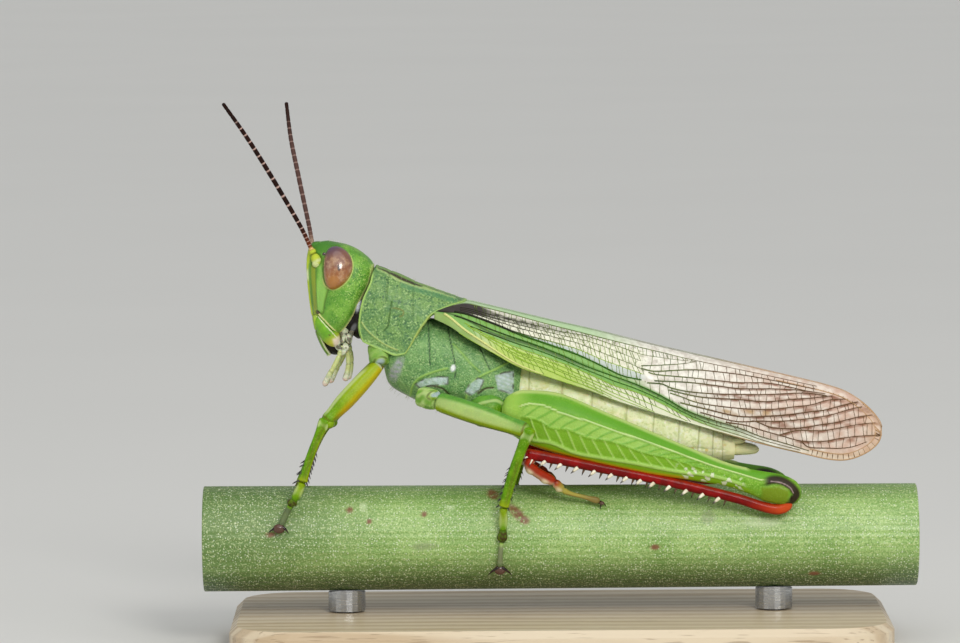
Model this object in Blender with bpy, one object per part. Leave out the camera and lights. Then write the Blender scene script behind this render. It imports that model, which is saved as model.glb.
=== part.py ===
"""Marsh grasshopper at rest on a cut stem, held by a plain display stand.

Frame: metres, +Z up, origin at the centre of the stand base's underside. The
head points to -X and the animal's left side to -Y. The sizes below are in
millimetres and become metres when a mesh is made.
"""

import math

import bmesh
import bpy
import numpy as np

MM = 0.001
GAP = 0.12  # clearance cut where two pieces meet

# ---------------------------------------------------------------- perch and stand
STEM_HALF_LENGTH = 25.0
STEM_AXIS_HEIGHT = 7.6
STEM_RADIUS_HEAD_END = 3.70
STEM_RADIUS_TAIL_END = 3.58
STEM_SIDES = 36
BASE_LENGTH, BASE_WIDTH, BASE_HEIGHT = 46.0, 22.0, 2.4
BASE_CORNER_RADIUS = 4.0
BASE_EDGE_BEVEL = 0.5
ROD_RADIUS = 1.3
ROD_SIDES = 20
ROD_OVERRUN = 0.6  # length inside the stem's outline that the stem then cuts away
ROD_OFFSET = 15.0  # each rod stands this far from the middle, along the stem

# ---------------------------------------------------------------- head
# Each row: front x, z, rear x, z, half width. Rows run from the top down.
HEAD_ROWS = (
    (-17.12, 28.40, -16.05, 28.54, 0.38),
    (-17.32, 28.15, -14.60, 28.20, 1.00),
    (-17.50, 27.60, -13.55, 27.58, 1.42),
    (-17.58, 26.70, -12.92, 26.80, 1.78),
    (-17.52, 25.60, -13.05, 25.65, 1.98),
    (-17.42, 24.60, -13.50, 24.80, 2.06),
    (-17.32, 23.80, -13.90, 23.90, 2.04),
    (-17.22, 23.30, -14.45, 22.95, 1.92),
    (-16.95, 22.95, -15.05, 22.25, 1.60),
    (-16.70, 22.80, -15.30, 22.10, 1.20),
)
HEAD_FACE_TAPER = 0.22  # how much narrower the face is than the back of the head
EYE_CENTRE = (-15.38, 1.62, 26.90)
EYE_RADII = (0.98, 0.88, 1.43)
EYE_LEAN = math.radians(5.0)  # the lower end leans towards the face
# Flagellum centre line: x, y, z, radius, from the socket to the tip.
ANTENNA_LEFT = (
    (-16.75, -0.52, 27.20, 0.26),
    (-17.30, -0.60, 28.00, 0.32),
    (-18.05, -0.78, 29.70, 0.25),
    (-19.90, -1.30, 33.00, 0.25),
    (-21.60, -1.95, 35.85, 0.26),
    (-23.22, -2.60, 38.25, 0.25),
)
ANTENNA_RIGHT = (
    (-16.70, 0.52, 27.30, 0.26),
    (-17.20, 0.62, 28.10, 0.32),
    (-17.48, 0.80, 29.70, 0.25),
    (-18.15, 1.30, 32.90, 0.25),
    (-18.70, 1.95, 35.60, 0.26),
    (-19.00, 2.60, 38.05, 0.25),
)
# Clypeus and labrum: x, z of the front, half width.
LABRUM_ROWS = (
    (-17.24, 23.05, 1.18),
    (-17.12, 22.45, 1.22),
    (-16.92, 21.80, 1.20),
    (-16.58, 21.05, 1.05),
    (-16.20, 20.48, 0.75),
)
LABRUM_THICKNESS = 0.5
MANDIBLE_CENTRE = (-16.22, 0.82, 22.25)
MANDIBLE_RADII = (0.62, 0.74, 1.15)
MANDIBLE_LEAN = math.radians(-34.0)
LABIUM_CENTRE = (-15.00, 0.0, 21.75)
LABIUM_RADII = (0.55, 1.15, 0.80)
# Palps: x, y, z, radius.
MAXILLARY_PALP = (
    (-15.20, 0.98, 21.05, 0.26),
    (-15.50, 1.08, 20.20, 0.27),
    (-16.05, 1.14, 19.30, 0.27),
    (-16.50, 1.10, 18.50, 0.30),
)
LABIAL_PALP = (
    (-14.75, 0.55, 20.95, 0.26),
    (-14.75, 0.62, 20.10, 0.27),
    (-15.00, 0.66, 18.80, 0.29),
)
NECK_ROWS = (  # top x, z, bottom x, z, half width
    (-15.40, 25.60, -15.60, 22.60, 1.25),
    (-14.40, 25.40, -14.70, 21.90, 1.45),
    (-13.20, 25.20, -13.30, 21.60, 1.50),
)

# ---------------------------------------------------------------- pronotum
# Rows run from the ridge line (0) down to the lower edge (1):
# depth share, x of the front edge, x of the rear edge.
PRONOTUM_EDGES = (
    (0.00, -12.75, -6.45),
    (0.06, -12.95, -7.35),
    (0.20, -13.15, -8.65),
    (0.40, -13.62, -9.35),
    (0.60, -13.87, -9.85),
    (0.80, -13.95, -10.25),
    (1.00, -13.70, -10.70),
)
# Rows run from front (0) to rear (1): length share, ridge z, lower edge z, half width.
PRONOTUM_SPAN = (
    (0.00, 26.75, 21.62, 2.20),
    (0.25, 26.20, 21.25, 2.38),
    (0.50, 25.45, 20.95, 2.46),
    (0.75, 24.85, 20.66, 2.52),
    (1.00, 24.32, 20.80, 2.55),
)
PRONOTUM_SHOULDER = 3.6  # superellipse power of its arch: flat disc, upright lobes
PRONOTUM_RINGS, PRONOTUM_ARCH = 11, 15

# ---------------------------------------------------------------- trunk
THORAX_ROWS = (  # top x, z, bottom x, z, half width
    (-12.30, 22.10, -12.35, 20.60, 1.20),
    (-12.00, 22.90, -12.18, 19.25, 1.90),
    (-11.20, 23.10, -11.75, 18.30, 2.30),
    (-9.80, 23.10, -10.40, 17.50, 2.65),
    (-8.00, 22.90, -9.05, 16.86, 2.85),
    (-6.00, 22.20, -7.00, 16.18, 2.88),
    (-4.30, 21.30, -5.04, 15.56, 2.75),
    (-3.10, 20.60, -3.80, 15.08, 2.50),
    (-2.60, 20.20, -3.20, 15.30, 2.25),
)
ABDOMEN_ROWS = (
    (-3.60, 20.30, -4.00, 15.10, 1.90),
    (-1.00, 20.05, -1.40, 14.20, 2.32),
    (2.40, 19.00, 2.00, 13.70, 2.30),
    (6.00, 17.75, 5.60, 13.25, 2.05),
    (9.40, 16.40, 9.10, 12.95, 1.68),
    (11.40, 15.20, 11.30, 12.90, 1.25),
    (12.25, 14.70, 12.20, 13.05, 0.95),
)
TRUNK_POWER = 2.15
ABDOMEN_TIP = (  # x, y, z, half height, half width
    (11.60, 0.0, 13.80, 0.60, 0.70),
    (12.40, 0.0, 13.78, 0.54, 0.62),
    (13.10, 0.0, 13.70, 0.44, 0.50),
    (13.50, 0.0, 13.64, 0.30, 0.34),
)
CERCUS = (  # x, y, z, radius
    (11.80, 0.62, 14.30, 0.26),
    (12.50, 0.90, 14.36, 0.26),
    (13.00, 1.02, 14.36, 0.25),
)

# ---------------------------------------------------------------- wings
# x, upper edge z, lower edge z, half width of the pair.
TEGMEN_ROWS = (
    (-8.70, 24.10, 23.10, 2.40),
    (-7.60, 24.15, 22.60, 2.95),
    (-6.45, 24.20, 21.82, 3.05),
    (-4.70, 23.80, 20.80, 3.08),
    (-2.78, 23.33, 19.72, 3.02),
    (-0.50, 22.77, 18.92, 2.90),
    (2.00, 22.20, 18.08, 2.80),
    (4.00, 21.70, 17.28, 2.68),
    (6.70, 21.00, 16.38, 2.48),
    (10.70, 20.05, 15.12, 2.12),
    (14.00, 19.26, 14.15, 1.82),
    (16.90, 18.56, 13.42, 1.62),
    (18.70, 18.10, 12.98, 1.45),
    (20.10, 17.62, 12.88, 1.25),
    (22.30, 16.60, 13.10, 0.85),
)
TEGMEN_REACH = {"left": 22.40, "right": 23.05}  # x of each wing tip
TIP_ROUND_LENGTH = 3.0
TIP_ROUND_POWER = 2.3
WING_THICKNESS = 0.5
WING_PARTING = 0.07  # half the gap between the left and right wings
TEGMEN_RINGS, WING_ARCH = 21, 6
HINDWING_START, HINDWING_END = -2.6, 18.6
HINDWING_INSET = 0.85  # from the outside of the forewing to the outside of the hindwing
HINDWING_RINGS = 9

# ---------------------------------------------------------------- legs
# Joints of the fore and mid legs, y outwards: hip, trochanter, knee, ankle.
# The foot then follows the stem: x, height above the floor, lift off the surface.
FORE_LEG = {
    "left": {
        "hip": (-12.62, 1.55, 21.30), "trochanter": (-12.55, 2.15, 20.05),
        "knee": (-16.38, 3.60, 16.10), "ankle": (-18.38, 4.22, 11.30),
        "foot": ((-19.05, 10.20, 0.62), (-19.50, 8.95, 0.42)),
    },
    "right": {
        "hip": (-12.62, 1.55, 21.30), "trochanter": (-12.40, 2.15, 20.00),
        "knee": (-16.35, 3.45, 15.45), "ankle": (-18.35, 4.10, 10.95),
        "foot": ((-18.95, 9.90, 0.60), (-19.35, 8.60, 0.42)),
    },
}
MID_LEG = {
    "left": {
        "hip": (-9.70, 2.30, 17.80), "trochanter": (-8.60, 3.15, 17.55),
        "knee": (-2.20, 5.15, 15.58), "ankle": (-3.98, 4.55, 10.20),
        "foot": ((-4.02, 8.60, 0.55), (-4.20, 7.00, 0.42), (-4.24, 5.95, 0.42)),
    },
    "right": {
        "hip": (-9.70, 2.30, 17.80), "trochanter": (-8.60, 3.15, 17.55),
        "knee": (-1.62, 5.45, 15.25), "ankle": (-3.45, 4.65, 10.00),
        "foot": ((-3.70, 8.40, 0.55), (-4.00, 6.90, 0.42), (-4.10, 5.90, 0.42)),
    },
}
# Thickness along each length: share of the length, radius.
FORE_FEMUR = ((0.0, 0.44), (0.15, 0.56), (0.50, 0.62), (0.85, 0.50), (1.0, 0.48))
MID_FEMUR = ((0.0, 0.50), (0.15, 0.62), (0.50, 0.66), (0.85, 0.54), (1.0, 0.50))
SHORT_TIBIA = ((0.0, 0.40), (0.20, 0.36), (0.60, 0.34), (0.90, 0.36), (1.0, 0.38))
SHORT_TARSUS = ((0.0, 0.32), (0.45, 0.34), (0.60, 0.26), (0.85, 0.26), (1.0, 0.34))
COXA_RADIUS = {"fore": 0.72, "mid": 0.85}
COXA_TAPER = 0.72  # radius at the trochanter, as a share of the radius at the hip
COXA_ACROSS = {"fore": (1.0, 0.0, 0.0), "mid": (0.0, 0.0, 1.0)}  # a direction square to each
TIBIA_BOW = 0.12  # how far a short tibia bows forwards at its middle

HIND_COXA_CENTRE = (-5.05, 2.55, 16.75)
HIND_COXA_RADII = (1.35, 0.80, 1.15)
# x, upper z, lower z, centre y, half thickness.
HIND_FEMUR_ROWS = (
    (-4.05, 17.10, 16.30, 3.15, 0.40),
    (-3.70, 17.80, 15.60, 3.25, 0.66),
    (-2.90, 18.18, 14.85, 3.36, 0.86),
    (-1.90, 18.22, 14.38, 3.46, 0.98),
    (0.00, 18.00, 13.78, 3.60, 1.05),
    (2.80, 16.86, 13.10, 3.74, 1.02),
    (6.00, 15.48, 12.42, 3.84, 0.88),
    (8.90, 14.24, 11.98, 3.90, 0.72),
    (11.40, 13.20, 11.55, 3.94, 0.60),
    (13.00, 12.76, 11.02, 3.96, 0.58),
    (14.20, 12.54, 10.50, 3.98, 0.66),
    (15.40, 12.32, 10.24, 4.00, 0.74),
    (16.30, 11.90, 10.30, 4.00, 0.62),
    (16.70, 11.40, 10.70, 4.00, 0.36),
)
# x, y, z, half height, half thickness from the knee to the ankle.
HIND_TIBIA_ROWS = (
    (15.55, 4.00, 10.95, 0.34, 0.30),
    (15.75, 4.00, 10.20, 0.36, 0.32),
    (15.10, 4.00, 9.90, 0.38, 0.34),
    (14.00, 4.00, 10.10, 0.36, 0.34),
    (12.00, 3.98, 10.74, 0.34, 0.32),
    (7.32, 3.95, 11.86, 0.33, 0.31),
    (2.00, 3.92, 12.96, 0.33, 0.31),
    (-0.40, 3.92, 13.45, 0.34, 0.32),
    (-1.95, 3.92, 13.72, 0.40, 0.36),
)
HIND_TARSUS_ROWS = (
    (-1.90, 3.92, 13.62, 0.28),
    (-2.20, 3.92, 13.10, 0.34),
    (-1.45, 3.75, 12.45, 0.34),
    (-0.45, 3.50, 11.85, 0.32),
    (0.45, 3.24, 11.10, 0.28),
    (1.70, 3.05, 10.72, 0.26),
    (2.75, 2.95, 10.42, 0.34),
)
HIND_RIGHT_SHIFT = (-0.45, 0.0, -0.40)  # the right hind leg lies a little further forwards

LIMB_SIDES = 8
END_ROUNDING = 48.0  # degrees round to the extra ring that softens a limb's end


def smooth(rows, count):
    """Read `count` rows along cubic curves through the given rows."""
    rows = np.asarray(rows, dtype=float)
    place = np.linspace(0.0, len(rows) - 1.0, count)
    low = np.minimum(place.astype(int), len(rows) - 2)
    f = (place - low)[:, None]
    slope = np.gradient(rows, axis=0)
    return (
        (2 * f**3 - 3 * f**2 + 1) * rows[low]
        + (f**3 - 2 * f**2 + f) * slope[low]
        + (3 * f**2 - 2 * f**3) * rows[low + 1]
        + (f**3 - f**2) * slope[low + 1]
    )


def read_at(rows, column, x):
    """Value of a column where the rows' first column equals x, along straight lines."""
    rows = np.asarray(rows, dtype=float)
    return np.interp(x, rows[:, 0], rows[:, column])


def material(name, colour, roughness, metallic=0.0):
    """A Principled material with one colour."""
    made = bpy.data.materials.new(name)
    made.use_nodes = True
    shader = made.node_tree.nodes["Principled BSDF"]
    shader.inputs["Base Color"].default_value = (*colour, 1.0)
    shader.inputs["Roughness"].default_value = roughness
    shader.inputs["Metallic"].default_value = metallic
    return made


def piece(name, points, faces, finish):
    """Make an object of points in millimetres, its faces turned outwards."""
    mesh = bpy.data.meshes.new(name)
    mesh.from_pydata([tuple(p) for p in np.asarray(points) * MM], [], faces)
    shell = bmesh.new()
    shell.from_mesh(mesh)
    bmesh.ops.recalc_face_normals(shell, faces=shell.faces)
    shell.to_mesh(mesh)
    shell.free()
    mesh.materials.append(finish)
    mesh.shade_smooth()
    made = bpy.data.objects.new(name, mesh)
    bpy.context.collection.objects.link(made)
    return made


def side_faces(count, sides):
    """Quads between `count` closed rings of `sides` points each."""
    faces = []
    for k in range(count - 1):
        for i in range(sides):
            j = (i + 1) % sides
            faces.append((k * sides + i, k * sides + j, (k + 1) * sides + j, (k + 1) * sides + i))
    return faces


def loft(name, rings, finish, first_pair=0):
    """Skin a row of closed rings; each end is closed by a ladder of faces.

    The ladder's rungs join the points `first_pair` - i and i, so 0 suits a ring that
    starts on its own middle line and -1 an arch that starts at one foot.
    """
    rings = np.asarray(rings, dtype=float)
    count, sides = rings.shape[0], rings.shape[1]
    faces = side_faces(count, sides)
    for start in (0, (count - 1) * sides):
        for i in range(sides // 2):
            rung = []
            for index in (i, i + 1, first_pair - 1 - i, first_pair - i):
                if start + index % sides not in rung:
                    rung.append(start + index % sides)
            if len(rung) > 2:
                faces.append(tuple(rung))
    return piece(name, rings.reshape(-1, 3), faces, finish)


def plane_ring(top, bottom, half_width, power, sides, taper=0.0):
    """Superellipse ring across the body, in the plane through top, bottom and the Y axis.

    A positive taper narrows the half next to `top`.
    """
    angle = np.linspace(0.0, 2 * math.pi, sides, endpoint=False)
    reach = np.sign(np.cos(angle)) * np.abs(np.cos(angle)) ** (2.0 / power)
    side = np.sign(np.sin(angle)) * np.abs(np.sin(angle)) ** (2.0 / power)
    top, bottom = np.asarray(top, dtype=float), np.asarray(bottom, dtype=float)
    middle, half = (top + bottom) / 2.0, (top - bottom) / 2.0
    return np.column_stack((
        middle[0] + half[0] * reach,
        half_width * side * (1.0 - taper * reach),
        middle[1] + half[1] * reach,
    ))


def limb(name, rows, finish, count, sides=LIMB_SIDES, across=(0.0, 1.0, 0.0), sign=1.0):
    """A rounded tube along rows of x, y, z, half height and (optionally) half thickness.

    The half thickness is measured along `across`, and y is multiplied by `sign`.
    """
    rows = smooth(rows, count)
    if rows.shape[1] == 4:
        rows = np.column_stack((rows, rows[:, 3]))
    centre = rows[:, :3] * (1.0, sign, 1.0)
    along = np.gradient(centre, axis=0)
    along /= np.linalg.norm(along, axis=1)[:, None]
    height = np.cross(along, np.asarray(across))
    height /= np.linalg.norm(height, axis=1)[:, None]
    width = np.cross(height, along)
    angle = np.linspace(0.0, 2 * math.pi, sides, endpoint=False)

    def ring(k, shift, scale):
        return (
            centre[k] + along[k] * shift
            + np.outer(np.cos(angle), height[k]) * rows[k, 3] * scale
            + np.outer(np.sin(angle), width[k]) * rows[k, 4] * scale
        )

    rings = [ring(k, 0.0, 1.0) for k in range(count)]
    turn = math.radians(END_ROUNDING)
    shift, scale = math.sin(turn), math.cos(turn)
    rings.insert(0, ring(0, -shift * rows[0, 3], scale))
    rings.append(ring(count - 1, shift * rows[-1, 3], scale))
    return loft(name, rings, finish)


def ellipsoid(name, centre, radii, lean, finish, sign=1.0, rings=10, sides=16):
    """An ellipsoid whose upright axis leans by `lean` about Y."""
    polar = np.linspace(0.0, math.pi, rings + 1)[1:-1]
    turn = np.linspace(0.0, 2 * math.pi, sides, endpoint=False)
    made = []
    for p in polar:
        x = radii[0] * math.sin(p) * np.cos(turn)
        y = radii[1] * math.sin(p) * np.sin(turn)
        z = np.full(sides, radii[2] * math.cos(p))
        made.append(np.column_stack((
            centre[0] + x * math.cos(lean) + z * math.sin(lean),
            sign * (centre[1] + y),
            centre[2] - x * math.sin(lean) + z * math.cos(lean),
        )))
    return loft(name, made, finish)


def grown_copy(source, grow=GAP):
    """A hidden copy of a piece, each face moved outwards, to cut its neighbours with."""
    shell = bmesh.new()
    shell.from_mesh(source.data)
    shell.normal_update()
    moves = [v.normal * grow * MM * min(v.calc_shell_factor(), 1.6) for v in shell.verts]
    for vertex, move in zip(shell.verts, moves):
        vertex.co += move
    mesh = bpy.data.meshes.new("cutter_" + source.name)
    shell.to_mesh(mesh)
    shell.free()
    cutter = bpy.data.objects.new("cutter_" + source.name, mesh)
    bpy.context.collection.objects.link(cutter)
    cutter.hide_render = True
    cutter.display_type = "WIRE"
    return cutter


def cut(target, *cutters):
    """Take each cutter out of the target."""
    for cutter in cutters:
        step = target.modifiers.new("clear_of_" + cutter.name, "BOOLEAN")
        step.operation = "DIFFERENCE"
        step.solver = "EXACT"
        step.object = cutter


def stem_radius(x):
    """Radius of the stem at x."""
    share = (x + STEM_HALF_LENGTH) / (2 * STEM_HALF_LENGTH)
    return STEM_RADIUS_HEAD_END + (STEM_RADIUS_TAIL_END - STEM_RADIUS_HEAD_END) * share


def beside_stem(x, height, lift):
    """Point at x and height whose distance to the stem's surface is `lift`, on the +Y side."""
    reach = stem_radius(x) + lift
    return (x, math.sqrt(reach**2 - (height - STEM_AXIS_HEIGHT) ** 2), height)


def make_stem(finish):
    """The cut stem: a slowly tapering round bar along X."""
    angle = np.linspace(0.0, 2 * math.pi, STEM_SIDES, endpoint=False)
    rings = []
    for x in (-STEM_HALF_LENGTH, STEM_HALF_LENGTH):
        radius = stem_radius(x)
        rings.append(np.column_stack((
            np.full(STEM_SIDES, x),
            radius * np.cos(angle),
            STEM_AXIS_HEIGHT + radius * np.sin(angle),
        )))
    return loft("perch_stem", rings, finish)


def make_base(finish):
    """The flat base: a round-cornered plate with a bevelled upper edge."""
    corner = np.linspace(0.0, math.pi / 2, 7)
    outline = []
    for quarter, (sx, sy) in enumerate(((1, 1), (-1, 1), (-1, -1), (1, -1))):
        centre_x = sx * (BASE_LENGTH / 2 - BASE_CORNER_RADIUS)
        centre_y = sy * (BASE_WIDTH / 2 - BASE_CORNER_RADIUS)
        turn = corner + quarter * math.pi / 2
        outline.append(np.column_stack((
            centre_x + BASE_CORNER_RADIUS * np.cos(turn),
            centre_y + BASE_CORNER_RADIUS * np.sin(turn),
        )))
    outline = np.vstack(outline)
    inner = outline * (1 - 2 * BASE_EDGE_BEVEL / BASE_LENGTH, 1 - 2 * BASE_EDGE_BEVEL / BASE_WIDTH)
    rings = []
    for flat, z in ((outline, 0.0), (outline, BASE_HEIGHT - BASE_EDGE_BEVEL), (inner, BASE_HEIGHT)):
        rings.append(np.column_stack((flat, np.full(len(flat), z))))
    sides = len(outline)
    faces = side_faces(3, sides) + [tuple(range(sides)), tuple(range(2 * sides, 3 * sides))]
    return piece("stand_base", np.vstack(rings), faces, finish)


def make_rod(name, x, finish):
    """A short upright rod from the base into the stem, which is then cut out of it."""
    top = STEM_AXIS_HEIGHT - stem_radius(x) + ROD_OVERRUN
    angle = np.linspace(0.0, 2 * math.pi, ROD_SIDES, endpoint=False)
    rings = [
        np.column_stack((
            x + ROD_RADIUS * np.cos(angle), ROD_RADIUS * np.sin(angle), np.full(ROD_SIDES, z),
        ))
        for z in (BASE_HEIGHT + GAP, top)
    ]
    return loft(name, rings, finish)


def make_head(finish):
    """The head capsule, from rings that run from the face to the back of the head."""
    rows = smooth(HEAD_ROWS, 12)
    rings = [plane_ring(r[0:2], r[2:4], r[4], 2.2, 18, HEAD_FACE_TAPER) for r in rows]
    return loft("head", rings, finish)


def make_labrum(finish):
    """Clypeus and upper lip as one curved plate in front of the jaws."""
    rows = smooth(LABRUM_ROWS, 6)
    rings = []
    for x, z, half_width in rows:
        inner = (x + LABRUM_THICKNESS, z + 0.12)
        rings.append(plane_ring((x, z), inner, half_width, 4.0, 12))
    return loft("labrum", rings, finish)


def make_trunk(name, table, count, sides, finish):
    """Thorax, abdomen or neck: upright rings that lean with the body."""
    rings = [
        plane_ring(r[0:2], r[2:4], r[4], TRUNK_POWER, sides) for r in smooth(table, count)
    ]
    return loft(name, rings, finish)


def make_pronotum(finish):
    """The saddle plate, filled: an arch swept from its front edge to its rear edge."""
    span = smooth(PRONOTUM_SPAN, PRONOTUM_RINGS)
    across = np.linspace(-1.0, 1.0, PRONOTUM_ARCH)
    depth = np.abs(across) ** 1.9
    front = np.interp(depth, [r[0] for r in PRONOTUM_EDGES], [r[1] for r in PRONOTUM_EDGES])
    rear = np.interp(depth, [r[0] for r in PRONOTUM_EDGES], [r[2] for r in PRONOTUM_EDGES])
    arch = (1.0 - (1.0 - depth) ** PRONOTUM_SHOULDER) ** (1.0 / PRONOTUM_SHOULDER)
    rings = []
    for share, ridge, edge, half_width in span:
        rings.append(np.column_stack((
            front + (rear - front) * share,
            np.sign(across) * half_width * arch,
            ridge + (edge - ridge) * depth,
        )))
    return loft("pronotum", rings, finish, first_pair=-1)


def wing_arch(upper, lower, half_width, thickness):
    """Closed section of one folded wing: a quarter arch and the same arch moved inwards."""
    turn = np.linspace(0.0, math.pi / 2, WING_ARCH)
    y = WING_PARTING + (half_width - WING_PARTING) * np.sin(turn) ** 0.8
    z = upper - (upper - lower) * (1.0 - np.cos(turn))
    slope_y, slope_z = np.gradient(y), np.gradient(z)
    slope_y[0], slope_z[0] = 1.0, 0.0
    slope_y[-1], slope_z[-1] = 0.0, -1.0
    size = np.hypot(slope_y, slope_z)
    inner_y = np.maximum(y + slope_z / size * thickness, WING_PARTING)
    inner_z = z - slope_y / size * thickness
    inner_z = np.maximum(inner_z, lower)
    return np.concatenate((y, inner_y[::-1])), np.concatenate((z, inner_z[::-1]))


def make_wing(name, stations, sign, finish):
    """A folded wing from stations of x, upper z, lower z and half width."""
    rings = []
    for x, upper, lower, half_width in stations:
        y, z = wing_arch(upper, lower, half_width, WING_THICKNESS)
        rings.append(np.column_stack((np.full(len(y), x), sign * y, z)))
    return loft(name, rings, finish)


def tegmen_stations(reach):
    """Forewing stations whose tip is rounded off at x = reach."""
    start = TEGMEN_ROWS[0][0]
    share = np.sin(np.linspace(0.0, math.pi / 2, TEGMEN_RINGS))
    x = start + (reach - 0.02 - start) * (0.55 * share + 0.45 * share**3)
    fine = smooth(TEGMEN_ROWS, 120)
    upper, lower = read_at(fine, 1, x), read_at(fine, 2, x)
    half_width = read_at(fine, 3, x)
    into_tip = np.clip((x - (reach - TIP_ROUND_LENGTH)) / TIP_ROUND_LENGTH, 0.0, 1.0)
    close = (1.0 - into_tip**TIP_ROUND_POWER) ** (1.0 / TIP_ROUND_POWER)
    middle = (upper + lower) / 2.0 + 0.1
    half = np.maximum((upper - lower) / 2.0 * close, 0.3)
    return np.column_stack((x, middle + half, middle - half, np.maximum(half_width, 0.66)))


def hindwing_stations():
    """Hindwing stations: inside the forewing and above the abdomen."""
    x = np.linspace(HINDWING_START, HINDWING_END, HINDWING_RINGS)
    fine = smooth(TEGMEN_ROWS, 120)
    upper = read_at(fine, 1, x) - HINDWING_INSET
    half_width = np.maximum(read_at(fine, 3, x) - HINDWING_INSET, WING_PARTING + WING_THICKNESS)
    back = np.interp(x, [r[0] for r in ABDOMEN_ROWS], [r[1] for r in ABDOMEN_ROWS])
    back = np.where(x > ABDOMEN_ROWS[-1][0], 0.0, back + 0.35)
    lower = np.maximum(back, read_at(fine, 2, x) + 0.9)
    return np.column_stack((x, upper, lower, half_width))


def straight_rows(start, end, form, bow=0.0):
    """Rows of x, y, z, radius on the line from start to end, thickened by `form`."""
    start, end = np.asarray(start, dtype=float), np.asarray(end, dtype=float)
    rows = []
    for share, radius in form:
        point = start + (end - start) * share
        point[0] -= bow * math.sin(math.pi * share)
        rows.append((*point, radius))
    return rows


def path_rows(points, form):
    """Rows of x, y, z, radius along a broken line, thickened by `form`."""
    points = np.asarray(points, dtype=float)
    steps = np.linalg.norm(np.diff(points, axis=0), axis=1)
    run = np.concatenate(([0.0], np.cumsum(steps))) / steps.sum()
    rows = []
    for share, radius in form:
        rows.append([np.interp(share, run, points[:, axis]) for axis in range(3)] + [radius])
    return rows


def make_walking_leg(pair, side, sign, joints, femur_form, finishes, clear_of):
    """Coxa, femur, tibia and tarsus of a fore or mid leg; each is cut by the one above."""
    name = pair + "_{}_" + side
    hip, trochanter = joints["hip"], joints["trochanter"]
    coxa = limb(
        name.format("coxa"),
        [(*hip, COXA_RADIUS[pair]), (*trochanter, COXA_RADIUS[pair] * COXA_TAPER)],
        finishes["leg"], 4, across=COXA_ACROSS[pair], sign=sign,
    )
    femur = limb(
        name.format("femur"), straight_rows(trochanter, joints["knee"], femur_form),
        finishes["leg"], 7, 8, sign=sign,
    )
    tibia = limb(
        name.format("tibia"),
        straight_rows(joints["knee"], joints["ankle"], SHORT_TIBIA, TIBIA_BOW),
        finishes["leg"], 6, 6, sign=sign,
    )
    foot = [joints["ankle"]] + [beside_stem(*place) for place in joints["foot"]]
    tarsus = limb(
        name.format("tarsus"), path_rows(foot, SHORT_TARSUS), finishes["leg"], 7, 6, sign=sign,
    )
    cut(coxa, *clear_of)
    cut(femur, *clear_of, grown_copy(coxa))
    cut(tibia, grown_copy(femur))
    cut(tarsus, grown_copy(tibia))


def make_hind_leg(side, sign, shift, finishes, clear_of):
    """Coxa, jumping femur, red tibia and tarsus of a hind leg."""
    coxa = ellipsoid(
        "hind_coxa_" + side, HIND_COXA_CENTRE, HIND_COXA_RADII, 0.0, finishes["leg"], sign, 7, 10,
    )
    rings = []
    for x, upper, lower, y, half in smooth(HIND_FEMUR_ROWS, 19):
        ring = plane_ring((x, upper), (x, lower), half, 1.9, 12)
        ring[:, 1] = sign * (ring[:, 1] + y)
        rings.append(ring + shift)
    femur = loft("hind_femur_" + side, rings, finishes["leg"])
    move = np.array([*shift, 0.0, 0.0])
    tibia = limb(
        "hind_tibia_" + side, np.asarray(HIND_TIBIA_ROWS) + move, finishes["shin"], 15, 8, sign=sign,
    )
    foot_move = move[:4] * (1.0, 1.0, 0.5, 1.0)  # the foot stays on the stem
    tarsus = limb(
        "hind_tarsus_" + side, np.asarray(HIND_TARSUS_ROWS) + foot_move, finishes["shin"], 9, 6,
        sign=sign,
    )
    cut(coxa, *clear_of)
    cut(femur, *clear_of, grown_copy(coxa))
    cut(tibia, grown_copy(femur))
    cut(tarsus, grown_copy(tibia))


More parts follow.
